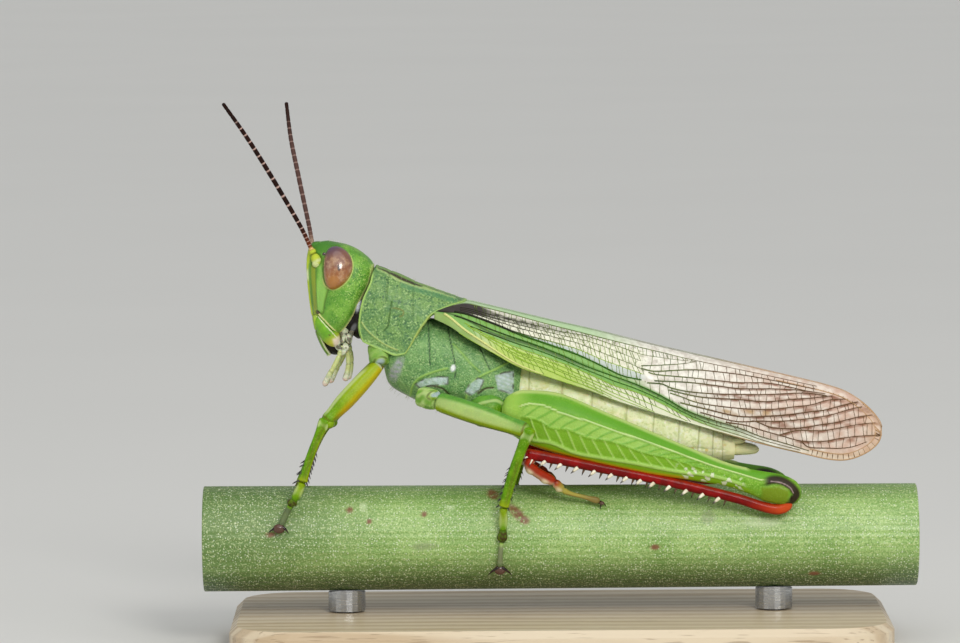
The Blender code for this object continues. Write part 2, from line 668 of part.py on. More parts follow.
def build():
    """Model the whole specimen."""
    for old in list(bpy.data.objects):
        bpy.data.objects.remove(old, do_unlink=True)
    green = material("green_cuticle", (0.16, 0.36, 0.08), 0.45)
    face_green = material("face_green", (0.22, 0.45, 0.08), 0.4)
    belly = material("belly_cuticle", (0.55, 0.62, 0.30), 0.5)
    mouth = material("mouth_parts", (0.60, 0.62, 0.42), 0.5)
    eye_brown = material("eye_brown", (0.30, 0.16, 0.10), 0.15)
    horn_brown = material("antenna_brown", (0.07, 0.02, 0.015), 0.5)
    membrane = material("wing_membrane", (0.62, 0.62, 0.50), 0.3)
    red = material("red_cuticle", (0.45, 0.03, 0.02), 0.25)
    rush = material("rush_stem", (0.30, 0.42, 0.20), 0.5)
    plinth = material("plinth", (0.05, 0.05, 0.05), 0.5)
    steel = material("rod_steel", (0.55, 0.55, 0.55), 0.3, 1.0)

    stem = make_stem(rush)
    make_base(plinth)
    stem_space = grown_copy(stem)
    for name, x in (("stand_rod_front", -ROD_OFFSET), ("stand_rod_rear", ROD_OFFSET)):
        cut(make_rod(name, x, steel), stem_space)

    pronotum = make_pronotum(green)
    thorax = make_trunk("thorax", THORAX_ROWS, 11, 16, green)
    abdomen = make_trunk("abdomen", ABDOMEN_ROWS, 10, 16, belly)
    head = make_head(face_green)
    neck = make_trunk("neck", NECK_ROWS, 5, 14, green)
    pronotum_space, thorax_space = grown_copy(pronotum), grown_copy(thorax)
    head_space = grown_copy(head)
    cut(thorax, pronotum_space)
    cut(abdomen, thorax_space)
    cut(head, pronotum_space)
    cut(neck, pronotum_space, head_space)

    labrum = make_labrum(face_green)
    labium = ellipsoid("labium", LABIUM_CENTRE, LABIUM_RADII, 0.0, mouth, 1.0, 7, 10)
    labrum_space = grown_copy(labrum)
    cut(labrum, head_space)
    jaw_spaces = []
    for side, sign, antenna_rows in (("left", -1.0, ANTENNA_LEFT), ("right", 1.0, ANTENNA_RIGHT)):
        eye = ellipsoid("eye_" + side, EYE_CENTRE, EYE_RADII, EYE_LEAN, eye_brown, sign, 9, 14)
        antenna = limb("antenna_" + side, antenna_rows, horn_brown, 11, 6)
        cut(head, grown_copy(eye), grown_copy(antenna))
        mandible = ellipsoid(
            "mandible_" + side, MANDIBLE_CENTRE, MANDIBLE_RADII, MANDIBLE_LEAN, face_green,
            sign, 7, 10,
        )
        cut(mandible, head_space, labrum_space)
        jaw_spaces.append(grown_copy(mandible))
    cut(labium, head_space, *jaw_spaces, grown_copy(neck))
    labium_space = grown_copy(labium)
    for side, sign in (("left", -1.0), ("right", 1.0)):
        upper_palp = limb("palp_maxillary_" + side, MAXILLARY_PALP, mouth, 5, 6, sign=sign)
        lower_palp = limb("palp_labial_" + side, LABIAL_PALP, mouth, 4, 6, sign=sign)
        for palp in (upper_palp, lower_palp):
            cut(palp, labium_space, *jaw_spaces)

    tip = limb("abdomen_tip", ABDOMEN_TIP, belly, 4, 10)
    abdomen_space, tip_space = grown_copy(abdomen), grown_copy(tip)
    cut(tip, abdomen_space)
    for side, sign in (("left", -1.0), ("right", 1.0)):
        cercus = limb("cercus_" + side, CERCUS, belly, 3, 6, sign=sign)
        cut(cercus, abdomen_space, tip_space)
        tegmen = make_wing("tegmen_" + side, tegmen_stations(TEGMEN_REACH[side]), sign, membrane)
        cut(tegmen, pronotum_space)
        make_wing("hindwing_" + side, hindwing_stations(), sign, membrane)

    finishes = {"leg": green, "shin": red}
    body_spaces = (thorax_space, pronotum_space)
    for side, sign in (("left", -1.0), ("right", 1.0)):
        make_walking_leg("fore", side, sign, FORE_LEG[side], FORE_FEMUR, finishes, body_spaces)
        make_walking_leg("mid", side, sign, MID_LEG[side], MID_FEMUR, finishes, body_spaces)
        shift = np.array(HIND_RIGHT_SHIFT if side == "right" else (0.0, 0.0, 0.0))
        make_hind_leg(side, sign, shift, finishes, body_spaces)


build()
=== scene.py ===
"""A green marsh grasshopper resting on a cut rush stem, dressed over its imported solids.

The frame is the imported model's: metres, +Z up, the head towards -X and the animal's
left side towards -Y. Sizes in the classes are millimetres and become metres when a
mesh is made. Patterns are named masks: numbers from 0 to 1 worked out on each surface
from the same millimetre lines as its relief, which the finishes then colour. Colours
are swatches on the 0 to 255 scale; a layer's fourth number is its strength.
"""

from __future__ import annotations

import logging
import math
from dataclasses import dataclass, field
from enum import Enum
from functools import reduce
from typing import Mapping, Sequence

import bpy
import numpy as np
from mathutils import Matrix


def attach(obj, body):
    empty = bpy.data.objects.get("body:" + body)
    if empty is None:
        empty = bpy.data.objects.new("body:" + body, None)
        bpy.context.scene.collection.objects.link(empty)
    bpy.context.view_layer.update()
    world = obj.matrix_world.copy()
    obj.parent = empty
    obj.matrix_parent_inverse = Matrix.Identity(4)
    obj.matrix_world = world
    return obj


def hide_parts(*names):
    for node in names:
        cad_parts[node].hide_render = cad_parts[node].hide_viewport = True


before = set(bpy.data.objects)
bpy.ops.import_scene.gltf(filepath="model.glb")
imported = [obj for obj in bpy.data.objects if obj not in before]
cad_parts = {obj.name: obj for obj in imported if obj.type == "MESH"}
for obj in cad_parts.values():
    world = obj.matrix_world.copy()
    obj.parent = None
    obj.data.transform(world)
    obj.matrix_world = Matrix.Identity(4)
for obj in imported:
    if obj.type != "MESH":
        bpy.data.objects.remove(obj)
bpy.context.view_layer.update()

log = logging.getLogger("grasshopper")
Array = np.ndarray
Line = Sequence[Sequence[float]]
Numbers = Sequence[float]
Point = tuple[float, float, float]
MM = 0.001
TURN = 2 * math.pi


# ------------------------------------------------------------------ curves and masks
def unit(vectors: Array) -> Array:
    """Each vector at length one."""
    return vectors / np.maximum(np.linalg.norm(vectors, axis=-1, keepdims=True), 1e-9)


def cubic(f: Array, first: Array, last: Array, leaving: Array, arriving: Array) -> Array:
    """The cubic from first to last at shares f, with the given slopes at its two ends."""
    return (
        (2 * f**3 - 3 * f**2 + 1) * first + (f**3 - 2 * f**2 + f) * leaving
        + (3 * f**2 - 2 * f**3) * last + (f**3 - f**2) * arriving
    )


def smooth_at(rows: Line, share: Array) -> Array:
    """Rows along cubics through evenly spaced rows; share runs from 0 to 1."""
    table = np.asarray(rows, dtype=float)
    place = np.clip(share, 0, 1) * (len(table) - 1)
    low = np.minimum(place.astype(int), len(table) - 2)
    slope = np.gradient(table, axis=0)
    return cubic((place - low)[:, None], table[low], table[low + 1], slope[low], slope[low + 1])


def smooth(rows: Line, count: int) -> Array:
    """Evenly spaced rows along the cubics through the given rows."""
    return smooth_at(rows, np.linspace(0, 1, count))


def crowd_ends(count: int, crowding: float = 0.13) -> Array:
    """Places from 0 to 1 that lie closer together towards both ends."""
    even = np.linspace(0, 1, count)
    return even - crowding * np.sin(TURN * even)


def read(knots: Line, x: Array) -> Array:
    """Values at x of cubics through knots of (x, value); the end values hold outside."""
    xs, ys = np.asarray(knots, dtype=float).T[:2]
    slope = np.gradient(ys, xs)
    low = np.clip(np.searchsorted(xs, x) - 1, 0, len(xs) - 2)
    step = xs[low + 1] - xs[low]
    f = np.clip((x - xs[low]) / step, 0, 1)
    return cubic(f, ys[low], ys[low + 1], slope[low] * step, slope[low + 1] * step)


def ramp(value: Array, start: float, end: float) -> Array:
    """0 at start rising smoothly to 1 at end; start may be the larger of the two."""
    f = np.clip((value - start) / (end - start), 0, 1)
    return f * f * (3 - 2 * f)


def between(value: Array, low: float, high: float, soft: float) -> Array:
    """1 from low to high, falling to 0 over `soft` outside them."""
    return ramp(value, low - soft, low) * ramp(value, high + soft, high)


def bell(value: Array, middle: float, width: float) -> Array:
    """A bell curve: the exponential of minus the squared distance from its middle."""
    return np.exp(-(((value - middle) / width) ** 2))


def most(*masks: Array | float) -> Array:
    """The largest of several masks at each point."""
    return reduce(np.maximum, masks)


def reach_to(a: Array, b: Array, line: Line) -> Array:
    """Distance in the (a, b) plane from each point to the nearest part of a line."""
    knots = np.asarray(line, dtype=float)
    start, run = knots[:-1], np.diff(knots, axis=0)
    da, db = a[..., None] - start[:, 0], b[..., None] - start[:, 1]
    f = np.clip((da * run[:, 0] + db * run[:, 1]) / (run**2).sum(axis=1), 0, 1)
    return np.hypot(da - f * run[:, 0], db - f * run[:, 1]).min(axis=-1)


def stroke(a: Array, b: Array, line: Line, width: float) -> Array:
    """A soft line of the given full width, drawn smoothly through its knots."""
    path = smooth(line, 4 * len(line)) if len(line) > 2 else line
    return ramp(reach_to(a, b, path), 0.5 * width, 0.18 * width)


def region(a: Array, b: Array, outline: Line, soft: float) -> Array:
    """1 inside a closed outline, falling to 0 over `soft` around its edge."""
    ring = np.asarray([*outline, outline[0]], dtype=float)
    (a0, b0), (a1, b1) = ring[:-1].T, ring[1:].T
    crosses = (b0 > b[..., None]) != (b1 > b[..., None])
    where = a0 + (b[..., None] - b0) / np.where(b1 == b0, 1e-9, b1 - b0) * (a1 - a0)
    within = (crosses & (a[..., None] < where)).sum(axis=-1) % 2 == 1
    return ramp(reach_to(a, b, ring) * np.where(within, -1, 1), 0.5 * soft, -0.5 * soft)


def spot(a: Array, b: Array, centre: Numbers, radii: Numbers, lean: float = 0) -> Array:
    """A soft oval spot: 1 in its middle, 0 at its rim; lean turns it, in degrees."""
    c, s = math.cos(math.radians(lean)), math.sin(math.radians(lean))
    da, db = a - centre[0], b - centre[1]
    return ramp(np.hypot((da * c + db * s) / radii[0], (db * c - da * s) / radii[1]), 1, 0.45)


def mottle(points: Array, size: float, seed: int) -> Array:
    """Soft patches between 0 and 1: a sum of waves in set but unrelated directions."""
    draw = np.random.default_rng(seed)
    waves = unit(draw.normal(size=(9, 3))) * TURN / size * draw.uniform(0.6, 1.5, (9, 1))
    phase = draw.uniform(0.0, TURN, 9)
    return 0.5 + 0.5 * np.tanh(np.sin(points @ waves.T + phase).sum(axis=-1) / 2.2)


# ------------------------------------------------------------------ meshes
@dataclass
class Shape:
    """Points in millimetres, the quads and triangles between them, and named masks."""

    points: Array
    quads: Array
    tris: Array
    masks: dict[str, Array] = field(default_factory=dict)

    def mirrored(self) -> Shape:
        """The same shape on the other side of the animal, its faces still outwards."""
        return Shape(self.points * (1, -1, 1), self.quads[:, ::-1], self.tris[:, ::-1], self.masks)

    def moved(self, step: Numbers) -> Shape:
        """The same shape moved by a step in millimetres."""
        return Shape(self.points + np.asarray(step), self.quads, self.tris, self.masks)

    def marked(self, **values: float) -> Shape:
        """The same shape with masks that are even all over it."""
        even = {name: np.full(len(self.points), value) for name, value in values.items()}
        return Shape(self.points, self.quads, self.tris, {**self.masks, **even})

    def mesh(self, name: str) -> bpy.types.Mesh:
        """A smooth mesh in metres, with a float attribute for each mask."""
        mesh = bpy.data.meshes.new(name)
        fours, threes = len(self.quads), len(self.tris)
        corners = np.concatenate((self.quads.ravel(), self.tris.ravel())).astype(np.int32)
        starts = np.concatenate((np.arange(fours) * 4, fours * 4 + np.arange(threes) * 3))
        mesh.vertices.add(len(self.points))
        mesh.vertices.foreach_set("co", (self.points * MM).astype(np.float32).ravel())
        mesh.loops.add(len(corners))
        mesh.loops.foreach_set("vertex_index", corners)
        mesh.polygons.add(fours + threes)
        mesh.polygons.foreach_set("loop_start", starts.astype(np.int32))
        mesh.update(calc_edges=True)
        mesh.validate()
        for mask, values in self.masks.items():
            layer = mesh.attributes.new(mask, "FLOAT", "POINT")
            layer.data.foreach_set("value", np.clip(values, 0, 1).astype(np.float32))
        mesh.shade_smooth()
        return mesh


def joined(parts: Sequence[Shape]) -> Shape:
    """Several shapes as one; a mask that a part lacks is 0 there."""
    counts = [len(p.points) for p in parts]
    offsets = np.concatenate(([0], np.cumsum(counts)[:-1])).astype(int)
    names = sorted({name for p in parts for name in p.masks})
    return Shape(
        np.concatenate([p.points for p in parts]),
        np.concatenate([p.quads + k for p, k in zip(parts, offsets)]),
        np.concatenate([p.tris + k for p, k in zip(parts, offsets)]),
        {name: np.concatenate([p.masks.get(name, np.zeros(n)) for p, n in zip(parts, counts)])
         for name in names},
    )


@dataclass
class Skin:
    """A surface on a grid of points[u, v]; v closes on itself where `ring` is true."""

    points: Array
    ring: bool = True
    masks: dict[str, Array] = field(default_factory=dict)

    @property
    def xyz(self) -> tuple[Array, Array, Array]:
        """Places along and across the body, and height."""
        return tuple(np.moveaxis(self.points, -1, 0))

    def _raw_normals(self) -> tuple[Array, bool]:
        """Cross product of the grid's directions, and whether it faces the rows' middles."""
        along = np.gradient(self.points, axis=0)
        across = (np.roll(self.points, -1, axis=1) - np.roll(self.points, 1, axis=1)
                  if self.ring else np.gradient(self.points, axis=1))
        normal = unit(np.cross(along, across))
        away = self.points - self.points.mean(axis=1, keepdims=True)
        return normal, float((normal * away).sum()) < 0

    def normals(self) -> Array:
        """Outward direction at each point."""
        normal, inward = self._raw_normals()
        return -normal if inward else normal

    def push(self, amount: Array) -> None:
        """Move each point outwards by an amount in millimetres."""
        self.points = self.points + self.normals() * np.asarray(amount)[..., None]

    def shape(self) -> Shape:
        """The grid as faces; a closed ring's two ends are fanned to a middle point."""
        nu, nv = self.points.shape[:2]
        index = np.arange(nu * nv).reshape(nu, nv)
        ahead = np.roll(index, -1, axis=1) if self.ring else index[:, 1:]
        here = index if self.ring else index[:, :-1]
        quads = np.stack((here[:-1], here[1:], ahead[1:], ahead[:-1]), axis=-1).reshape(-1, 4)
        points = self.points.reshape(-1, 3)
        masks = {k: np.broadcast_to(m, (nu, nv)).ravel() for k, m in self.masks.items()}
        tris = np.zeros((0, 3), dtype=int)
        if self.ring:
            tris = np.concatenate((
                np.stack((np.full(nv, nu * nv), index[0], ahead[0]), axis=-1),
                np.stack((np.full(nv, nu * nv + 1), ahead[-1], index[-1]), axis=-1),
            ))
            points = np.vstack((points, self.points[0].mean(axis=0), self.points[-1].mean(axis=0)))
            masks = {k: np.append(m, (m[:nv].mean(), m[-nv:].mean())) for k, m in masks.items()}
        if self._raw_normals()[1]:
            quads, tris = quads[:, ::-1], tris[:, ::-1]
        return Shape(points, quads, tris, masks)


def oval(sides: int, power: float = 2) -> list[Array]:
    """Cosine and sine round a circle, raised to 2 / power with their signs kept."""
    angle = np.linspace(0, TURN, sides, endpoint=False)
    return [np.sign(wave) * np.abs(wave) ** (2 / power) for wave in (np.cos(angle), np.sin(angle))]


def body_rings(rows: Array, power: float, sides: int, taper: float = 0) -> Array:
    """Superellipse rings across the body, each in the plane of its two given points and Y.

    Args:
        rows: first x, first z, second x, second z and half width of each ring.
        power: 2 for an ellipse, more for squarer shoulders.
        sides: points around each ring, from the first point round by +Y.
        taper: how much narrower the half next to the first point is.

    Returns:
        The grid of points.
    """
    reach, side = oval(sides, power)
    middle, half = (rows[:, 0:2] + rows[:, 2:4]) / 2, (rows[:, 0:2] - rows[:, 2:4]) / 2
    return np.stack((
        middle[:, :1] + half[:, :1] * reach,
        rows[:, 4:5] * side * (1 - taper * reach),
        middle[:, 1:] + half[:, 1:] * reach,
    ), axis=-1)


def sweep(paths: Array, first: Array, second: Array, lean: Numbers, sides: int, power: float = 2) -> Array:
    """Rings square to paths: `first` lies along path x lean, `second` along path x first.

    Args:
        paths: centre lines, shaped (..., points, 3).
        first: half size of each ring one way.
        second: half size the other way; a minus sign turns the ring round.
        lean: a direction that no path follows.
        sides: points round each ring.
        power: 2 for an oval ring, more for a squarer one.

    Returns:
        Points shaped (..., points, sides, 3).
    """
    along = unit(np.gradient(paths, axis=-2))
    aside = unit(np.cross(along, np.asarray(lean, dtype=float)))
    over = np.cross(along, aside)
    c, s = (wave[:, None] for wave in oval(sides, power))
    return paths[..., None, :] + (
        (aside * first[..., None])[..., None, :] * c + (over * second[..., None])[..., None, :] * s
    )


def limb(
    rows: Line, count: int, sides: int, across: Numbers = (0, 1, 0), power: float = 2.0,
    round_start: float = 0.04, round_end: float = 0.04,
) -> tuple[Skin, Array]:
    """Carry a rounded profile along rows of x, y, z, half height and half thickness.

    The centre line is a cubic through the rows, and each ring's height is square to it
    and to `across`. Both ends close as quarter ellipses.

    Args:
        rows: centre line and half sizes; a missing half thickness equals the half height.
        count: rings along it.
        sides: points round it.
        across: direction of the half thickness.
        power: 2 for an oval profile, more for a squarer one.
        round_start: share of the length over which the first end closes.
        round_end: share of the length over which the last end closes.

    Returns:
        The surface, and each ring's place from 0 to 1.
    """
    share = crowd_ends(count)
    line = smooth_at(rows, share)
    near = np.minimum(share / round_start, (1 - share) / round_end)
    close = np.maximum(np.sqrt(1 - (1 - np.clip(near, 0, 1)) ** 2), 0.05)
    points = sweep(line[:, :3], line[:, 3] * close, -line[:, -1] * close, across, sides, power)
    return Skin(points), share[:, None]


def tubes(paths: Array, radii: Array, sides: int, masks: Mapping[str, Array] | None = None) -> Shape:
    """Round bars along many paths at once, each closed by a point at both ends.

    Args:
        paths: centre lines, shaped (bars, points, 3).
        radii: radius at each point, or anything that spreads to (bars, points).
        sides: faces round each bar.
        masks: named masks that spread to (bars, points).

    Returns:
        All the bars as one shape.
    """
    bars, count = paths.shape[:2]
    size = np.broadcast_to(radii, (bars, count))
    ring = sweep(paths, size, size, (0.13, 0.89, 0.43), sides)
    index = np.arange(bars * count * sides).reshape(bars, count, sides)
    ahead = np.roll(index, -1, axis=2)
    quads = np.stack((index[:, :-1], ahead[:, :-1], ahead[:, 1:], index[:, 1:]), axis=-1)
    first = bars * count * sides + np.arange(bars)[:, None]
    tris = np.concatenate([
        np.stack(np.broadcast_arrays(*corners), axis=-1).reshape(-1, 3) for corners in
        ((first, ahead[:, 0], index[:, 0]), (first + bars, index[:, -1], ahead[:, -1]))
    ])
    full = {name: np.broadcast_to(mask, (bars, count)) for name, mask in (masks or {}).items()}
    return Shape(
        np.concatenate((ring.reshape(-1, 3), paths[:, 0], paths[:, -1])), quads.reshape(-1, 4), tris,
        {k: np.concatenate((np.repeat(m.ravel(), sides), m[:, 0], m[:, -1])) for k, m in full.items()},
    )


def spikes(
    roots: Array, headings: Array, lengths: Array, radius: float, sides: int, bow: Numbers = (0, 0, 0),
    steps: int = 3,
) -> Shape:
    """Pointed spines or hairs with a mask `tip` over their outer halves.

    Args:
        roots: one point for each.
        headings: their directions.
        lengths: their lengths, one or one each.
        radius: radius at the root.
        sides: faces round each.
        bow: how far the tip is carried aside, as a share of the length.
        steps: points along each.

    Returns:
        All of them as one shape.
    """
    f = np.linspace(0, 1, steps)[None, :, None]
    length = np.broadcast_to(lengths, len(roots))[:, None, None]
    paths = roots[:, None, :] + length * (unit(headings)[:, None, :] * f + np.asarray(bow) * f**2)
    taper = radius * (1 - 0.93 * f[..., 0] ** 1.4)
    return tubes(paths, taper, sides, {"tip": ramp(f[..., 0], 0.45, 0.75)})


def bead(centre: Numbers, radii: Numbers, lean: float = 0, rings: int = 24, sides: int = 36) -> Skin:
    """An ellipsoid whose upright axis leans by `lean` degrees about Y."""
    polar = np.linspace(0.02, math.pi - 0.02, rings)[:, None]
    across, aside = oval(sides)
    x, y = radii[0] * np.sin(polar) * across, radii[1] * np.sin(polar) * aside
    z = radii[2] * np.cos(polar)
    c, s = math.cos(math.radians(lean)), math.sin(math.radians(lean))
    return Skin(np.stack((centre[0] + x * c + z * s, centre[1] + y, centre[2] - x * s + z * c), axis=-1))


@dataclass(frozen=True)
class Fuzz:
    """Fine hairs with random roots along a line of the side view.

    A root's height is the line's plus `lift`, less `curve` times the square of its
    distance across; hairs point up where `up` is 1 and down where it is -1.
    """

    line: Line
    half_width: float
    lift: float
    curve: float
    lean: float
    up: float
    count: int
    seed: int

    def shape(self) -> Shape:
        """All the hairs."""
        draw = np.random.default_rng(self.seed)
        x = draw.uniform(self.line[0][0], self.line[-1][0], self.count)
        y = draw.uniform(-self.half_width, self.half_width, self.count)
        root = np.column_stack((x, y, read(self.line, x) + self.lift - self.curve * y**2))
        lean = self.lean + draw.uniform(-0.4, 0.4, self.count)
        heading = np.column_stack((lean, 0.5 * y, np.full(self.count, self.up)))
        return spikes(root, heading, draw.uniform(0.24, 0.46, self.count), 0.012, 3)


def fit(
    shape: Shape | Skin, name: str, finish: bpy.types.Material, slot: str, *nodes: str, wall: float = 0,
) -> None:
    """Put a finished piece on the model in place of the solids it stands for.

    Args:
        shape: the piece.
        name: its name.
        finish: its material.
        slot: a finish slot name; not used.
        nodes: the solids it replaces.
        wall: thickness of an open sheet, which grows inwards.
    """
    made = bpy.data.objects.new(name, (shape.shape() if isinstance(shape, Skin) else shape).mesh(name))
    made.data.materials.append(finish)
    bpy.context.scene.collection.objects.link(made)
    if wall:
        solid = made.modifiers.new("wall", "SOLIDIFY")
        solid.thickness = wall * MM
        solid.offset = -1
        solid.use_even_offset = False
    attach(made, "root")
    if nodes:
        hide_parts(*nodes)
    log.info("%s: %d faces", name, len(made.data.polygons))


def dress_nodes(finish: bpy.types.Material, *nodes: str) -> None:
    """Give CAD solids that stay in view their finish."""
    for node in nodes:
        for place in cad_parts[node].material_slots:
            place.material = finish
        log.info("%s: keeps its solid, finish %s", node, finish.name)


class Side(Enum):
    """Which side of the animal: the sign of Y."""

    LEFT = -1
    RIGHT = 1

    @property
    def word(self) -> str:
        """The side in the names of nodes."""
        return self.name.lower()

    def turn(self, piece: Shape | Skin) -> Shape:
        """A piece made for the right side, brought to this one."""
        shape = piece.shape() if isinstance(piece, Skin) else piece
        return shape.mirrored() if self is Side.LEFT else shape


# ------------------------------------------------------------------ finishes
def tone(swatch: Sequence[int]) -> tuple[float, ...]:
    """A swatch in the renderer's linear scale."""
    share = np.array(swatch) / 255
    linear = np.where(share <= 0.04045, share / 12.92, ((share + 0.055) / 1.055) ** 2.4)
    return (*(float(c) for c in linear), 1.0)


class Value:
    """A socket in a recipe; Python's operators add the Math nodes."""

    def __init__(self, recipe: Recipe, socket: bpy.types.NodeSocket) -> None:
        """Wrap one output socket."""
        self.recipe = recipe
        self.socket = socket

    def __add__(self, other: Value | float) -> Value:
        """Sum."""
        return self.recipe.add("ShaderNodeMath", {"operation": "ADD"}, {0: self, 1: other})

    def __mul__(self, other: Value | float) -> Value:
        """Product."""
        return self.recipe.add("ShaderNodeMath", {"operation": "MULTIPLY"}, {0: self, 1: other})

    def band(self, start: float, end: float, low: float = 0.0, high: float = 1.0) -> Value:
        """Low at start, rising smoothly to high at end."""
        return self.recipe.add(
            "ShaderNodeMapRange", {"interpolation_type": "SMOOTHSTEP"},
            {0: self, 1: start, 2: end, 3: low, 4: high},
        )

    __radd__ = __add__
    __rmul__ = __mul__


class Recipe:
    """Builds one material's nodes."""

    def __init__(self, name: str) -> None:
        """Start an empty material."""
        self.material = bpy.data.materials.new(name)
        self.material.use_nodes = True
        self.tree = self.material.node_tree
        self.tree.nodes.clear()

    def add(
        self, kind: str, settings: Mapping[str, object], inputs: Mapping[int | str, object],
        output: int | str = 0,
    ) -> Value:
        """Add a node: its settings first, then its sockets' values or links.

        Args:
            kind: the node's type.
            settings: attributes of the node.
            inputs: for each socket a Value to link, a swatch or a plain value.
            output: which output to return.

        Returns:
            The chosen output.
        """
        node = self.tree.nodes.new(kind)
        for name, value in settings.items():
            setattr(node, name, value)
        for key, value in inputs.items():
            socket = node.inputs[key]
            if isinstance(value, Value):
                self.tree.links.new(value.socket, socket)
            else:
                socket.default_value = tone(value) if socket.type == "RGBA" else value
        return Value(self, node.outputs[output])

    def mask(self, name: str) -> Value:
        """A named mask of the surface."""
        return self.add("ShaderNodeAttribute", {"attribute_name": name}, {}, "Fac")

    def place(self, size: float, stretch: Numbers = (1, 1, 1)) -> Value:
        """Object coordinates counted in steps of `size` millimetres; stretch lengthens them."""
        here = self.add("ShaderNodeTexCoord", {}, {}, "Object")
        scale = tuple(1 / (MM * size * s) for s in stretch)
        return self.add("ShaderNodeMapping", {}, {"Vector": here, "Scale": scale})

    def noise(self, size: float, detail: float = 2.0, stretch: Numbers = (1, 1, 1)) -> Value:
        """Soft noise with patches of about `size` millimetres."""
        inputs = {"Vector": self.place(size, stretch), "Scale": 1.0, "Detail": detail, "Roughness": 0.55}
        return self.add("ShaderNodeTexNoise", {}, inputs, "Fac")

    def cells(self, size: float) -> tuple[Value, Value]:
        """Distance to the middle of cells `size` millimetres apart, and a number for each cell."""
        inputs = {"Vector": self.place(size), "Scale": 1.0}
        distance = self.add("ShaderNodeTexVoronoi", {}, inputs, "Distance")
        colour = Value(self, distance.socket.node.outputs["Color"])
        return distance, self.add("ShaderNodeSeparateColor", {}, {0: colour})

    def mix(self, factor: Value, first: Value | Sequence[int], second: Value | Sequence[int]) -> Value:
        """Blend two colours."""
        return self.add(
            "ShaderNodeMix", {"data_type": "RGBA", "clamp_factor": True}, {0: factor, 6: first, 7: second}, 2,
        )

    def finish(self, colour: Value, roughness: Value | float, height: Value | None = None,
               depth: float = 0.02, **constants: float) -> bpy.types.Material:
        """Close the recipe with a Principled shader.

        Args:
            colour: base colour.
            roughness: roughness, even or varying.
            height: relief from 0 to 1 for a Bump node.
            depth: millimetres between relief 0 and 1.
            constants: other sockets, their spaces written as underscores.

        Returns:
            The material.
        """
        inputs = {"Base Color": colour, "Roughness": roughness}
        inputs.update({name.replace("_", " "): value for name, value in constants.items()})
        if height is not None:
            relief = {"Height": height, "Distance": depth * MM, "Strength": 1.0}
            inputs["Normal"] = self.add("ShaderNodeBump", {}, relief)
        shader = self.add("ShaderNodeBsdfPrincipled", {}, inputs)
        end = self.tree.nodes.new("ShaderNodeOutputMaterial")
        self.tree.links.new(shader.socket, end.inputs["Surface"])
        return self.material


@dataclass(frozen=True)
class Cuticle:
    """Insect shell: two tones in soft patches, fine grains, then a layer for each feature.

    Attributes:
        name: the material's name.
        base: the main tone.
        shade: the second tone.
        patch: size of the patches.
        grain: colour of the pale grains.
        grain_share: how strongly grains and pits show, 0 for none.
        grain_size: size of the grains.
        grain_mask: mask that says where they show, or nothing for everywhere.
        dark: colour of the pits between the grains.
        layers: for each mask, from the bottom up, the swatch and strength it lays on.
        roughness: roughness of the shell.
        coat: weight of its waxy gloss.
        depth: depth of the grain's relief.
        glow: weight of the light that passes just under the surface.
        gloss: specular level of the shell.
    """

    name: str
    base: Sequence[int]
    shade: Sequence[int]
    patch: float = 0.8
    grain: Sequence[int] = ()
    grain_share: float = 0.0
    grain_size: float = 0.2
    grain_mask: str | None = None
    dark: Sequence[int] = ()
    layers: Mapping[str, Numbers] = field(default_factory=dict)
    roughness: float = 0.42
    coat: float = 0.08
    depth: float = 0.02
    glow: float = 0.0
    gloss: float = 0.3

    def material(self) -> bpy.types.Material:
        """Build the material."""
        mix = Recipe(self.name)
        colour = mix.mix(mix.noise(self.patch, 3.0).band(0.36, 0.64), self.base, self.shade)
        fine = mix.noise(self.grain_size)
        if self.grain_share:
            patches = mix.noise(self.grain_size * 4.5, 1.0).band(0.3, 0.6, 0.35, 1.0)
            if self.grain_mask:
                patches = patches * mix.mask(self.grain_mask)
            pits = fine.band(0.46, 0.36) * patches * (self.grain_share * 0.85)
            colour = mix.mix(pits, colour, self.dark)
            colour = mix.mix(fine.band(0.54, 0.66) * patches * self.grain_share, colour, self.grain)
        for mask, (red, green, blue, strength) in self.layers.items():
            colour = mix.mix(mix.mask(mask) * strength, colour, (red, green, blue))
        roughness = fine.band(0.3, 0.7, self.roughness - 0.06, self.roughness + 0.08)
        return mix.finish(
            colour, roughness, fine, self.depth, Specular_IOR_Level=self.gloss,
            Coat_Weight=self.coat, Coat_Roughness=0.22,
            Subsurface_Weight=self.glow, Subsurface_Scale=0.3 * MM,
        )


# ------------------------------------------------------------------ head
HEAD_SHELL = Cuticle(
    "head_shell", (120, 172, 60), (92, 150, 48), grain=(188, 210, 124), grain_share=0.8, grain_size=0.11,
    grain_mask="rough", dark=(40, 88, 40), roughness=0.38, coat=0.12, depth=0.035, glow=0.05,
    layers={
        "crown": (64, 124, 36, 0.85), "panel": (148, 198, 92, 0.85), "costa": (186, 206, 50, 0.95),
        # shine is a painted highlight high on the front of the face
        # stripe is painted shade of the groove beside the frontal costa
        "stripe": (164, 168, 40, 0.65), "shine": (222, 232, 190, 0.8), "groove": (84, 112, 34, 0.6),
        "ring": (60, 70, 30, 0.8), "rim": (206, 214, 120, 0.85), "margin": (228, 224, 150, 0.95),
        "socket": (70, 96, 30, 0.7), "hinge": (52, 36, 28, 0.9), "pricks": (60, 104, 34, 0.6),
    },
)
MOUTH_SHELL = Cuticle(
    "mouth_shell", (124, 182, 40), (104, 162, 36), patch=0.7, roughness=0.34, coat=0.15, depth=0.015,
    layers={
        "lip": (92, 124, 40, 0.9), "warm": (206, 200, 70, 0.9), "rosy": (232, 212, 196, 0.95),
        "edge": (226, 228, 188, 0.9), "line": (70, 54, 24, 0.85),
    },
)
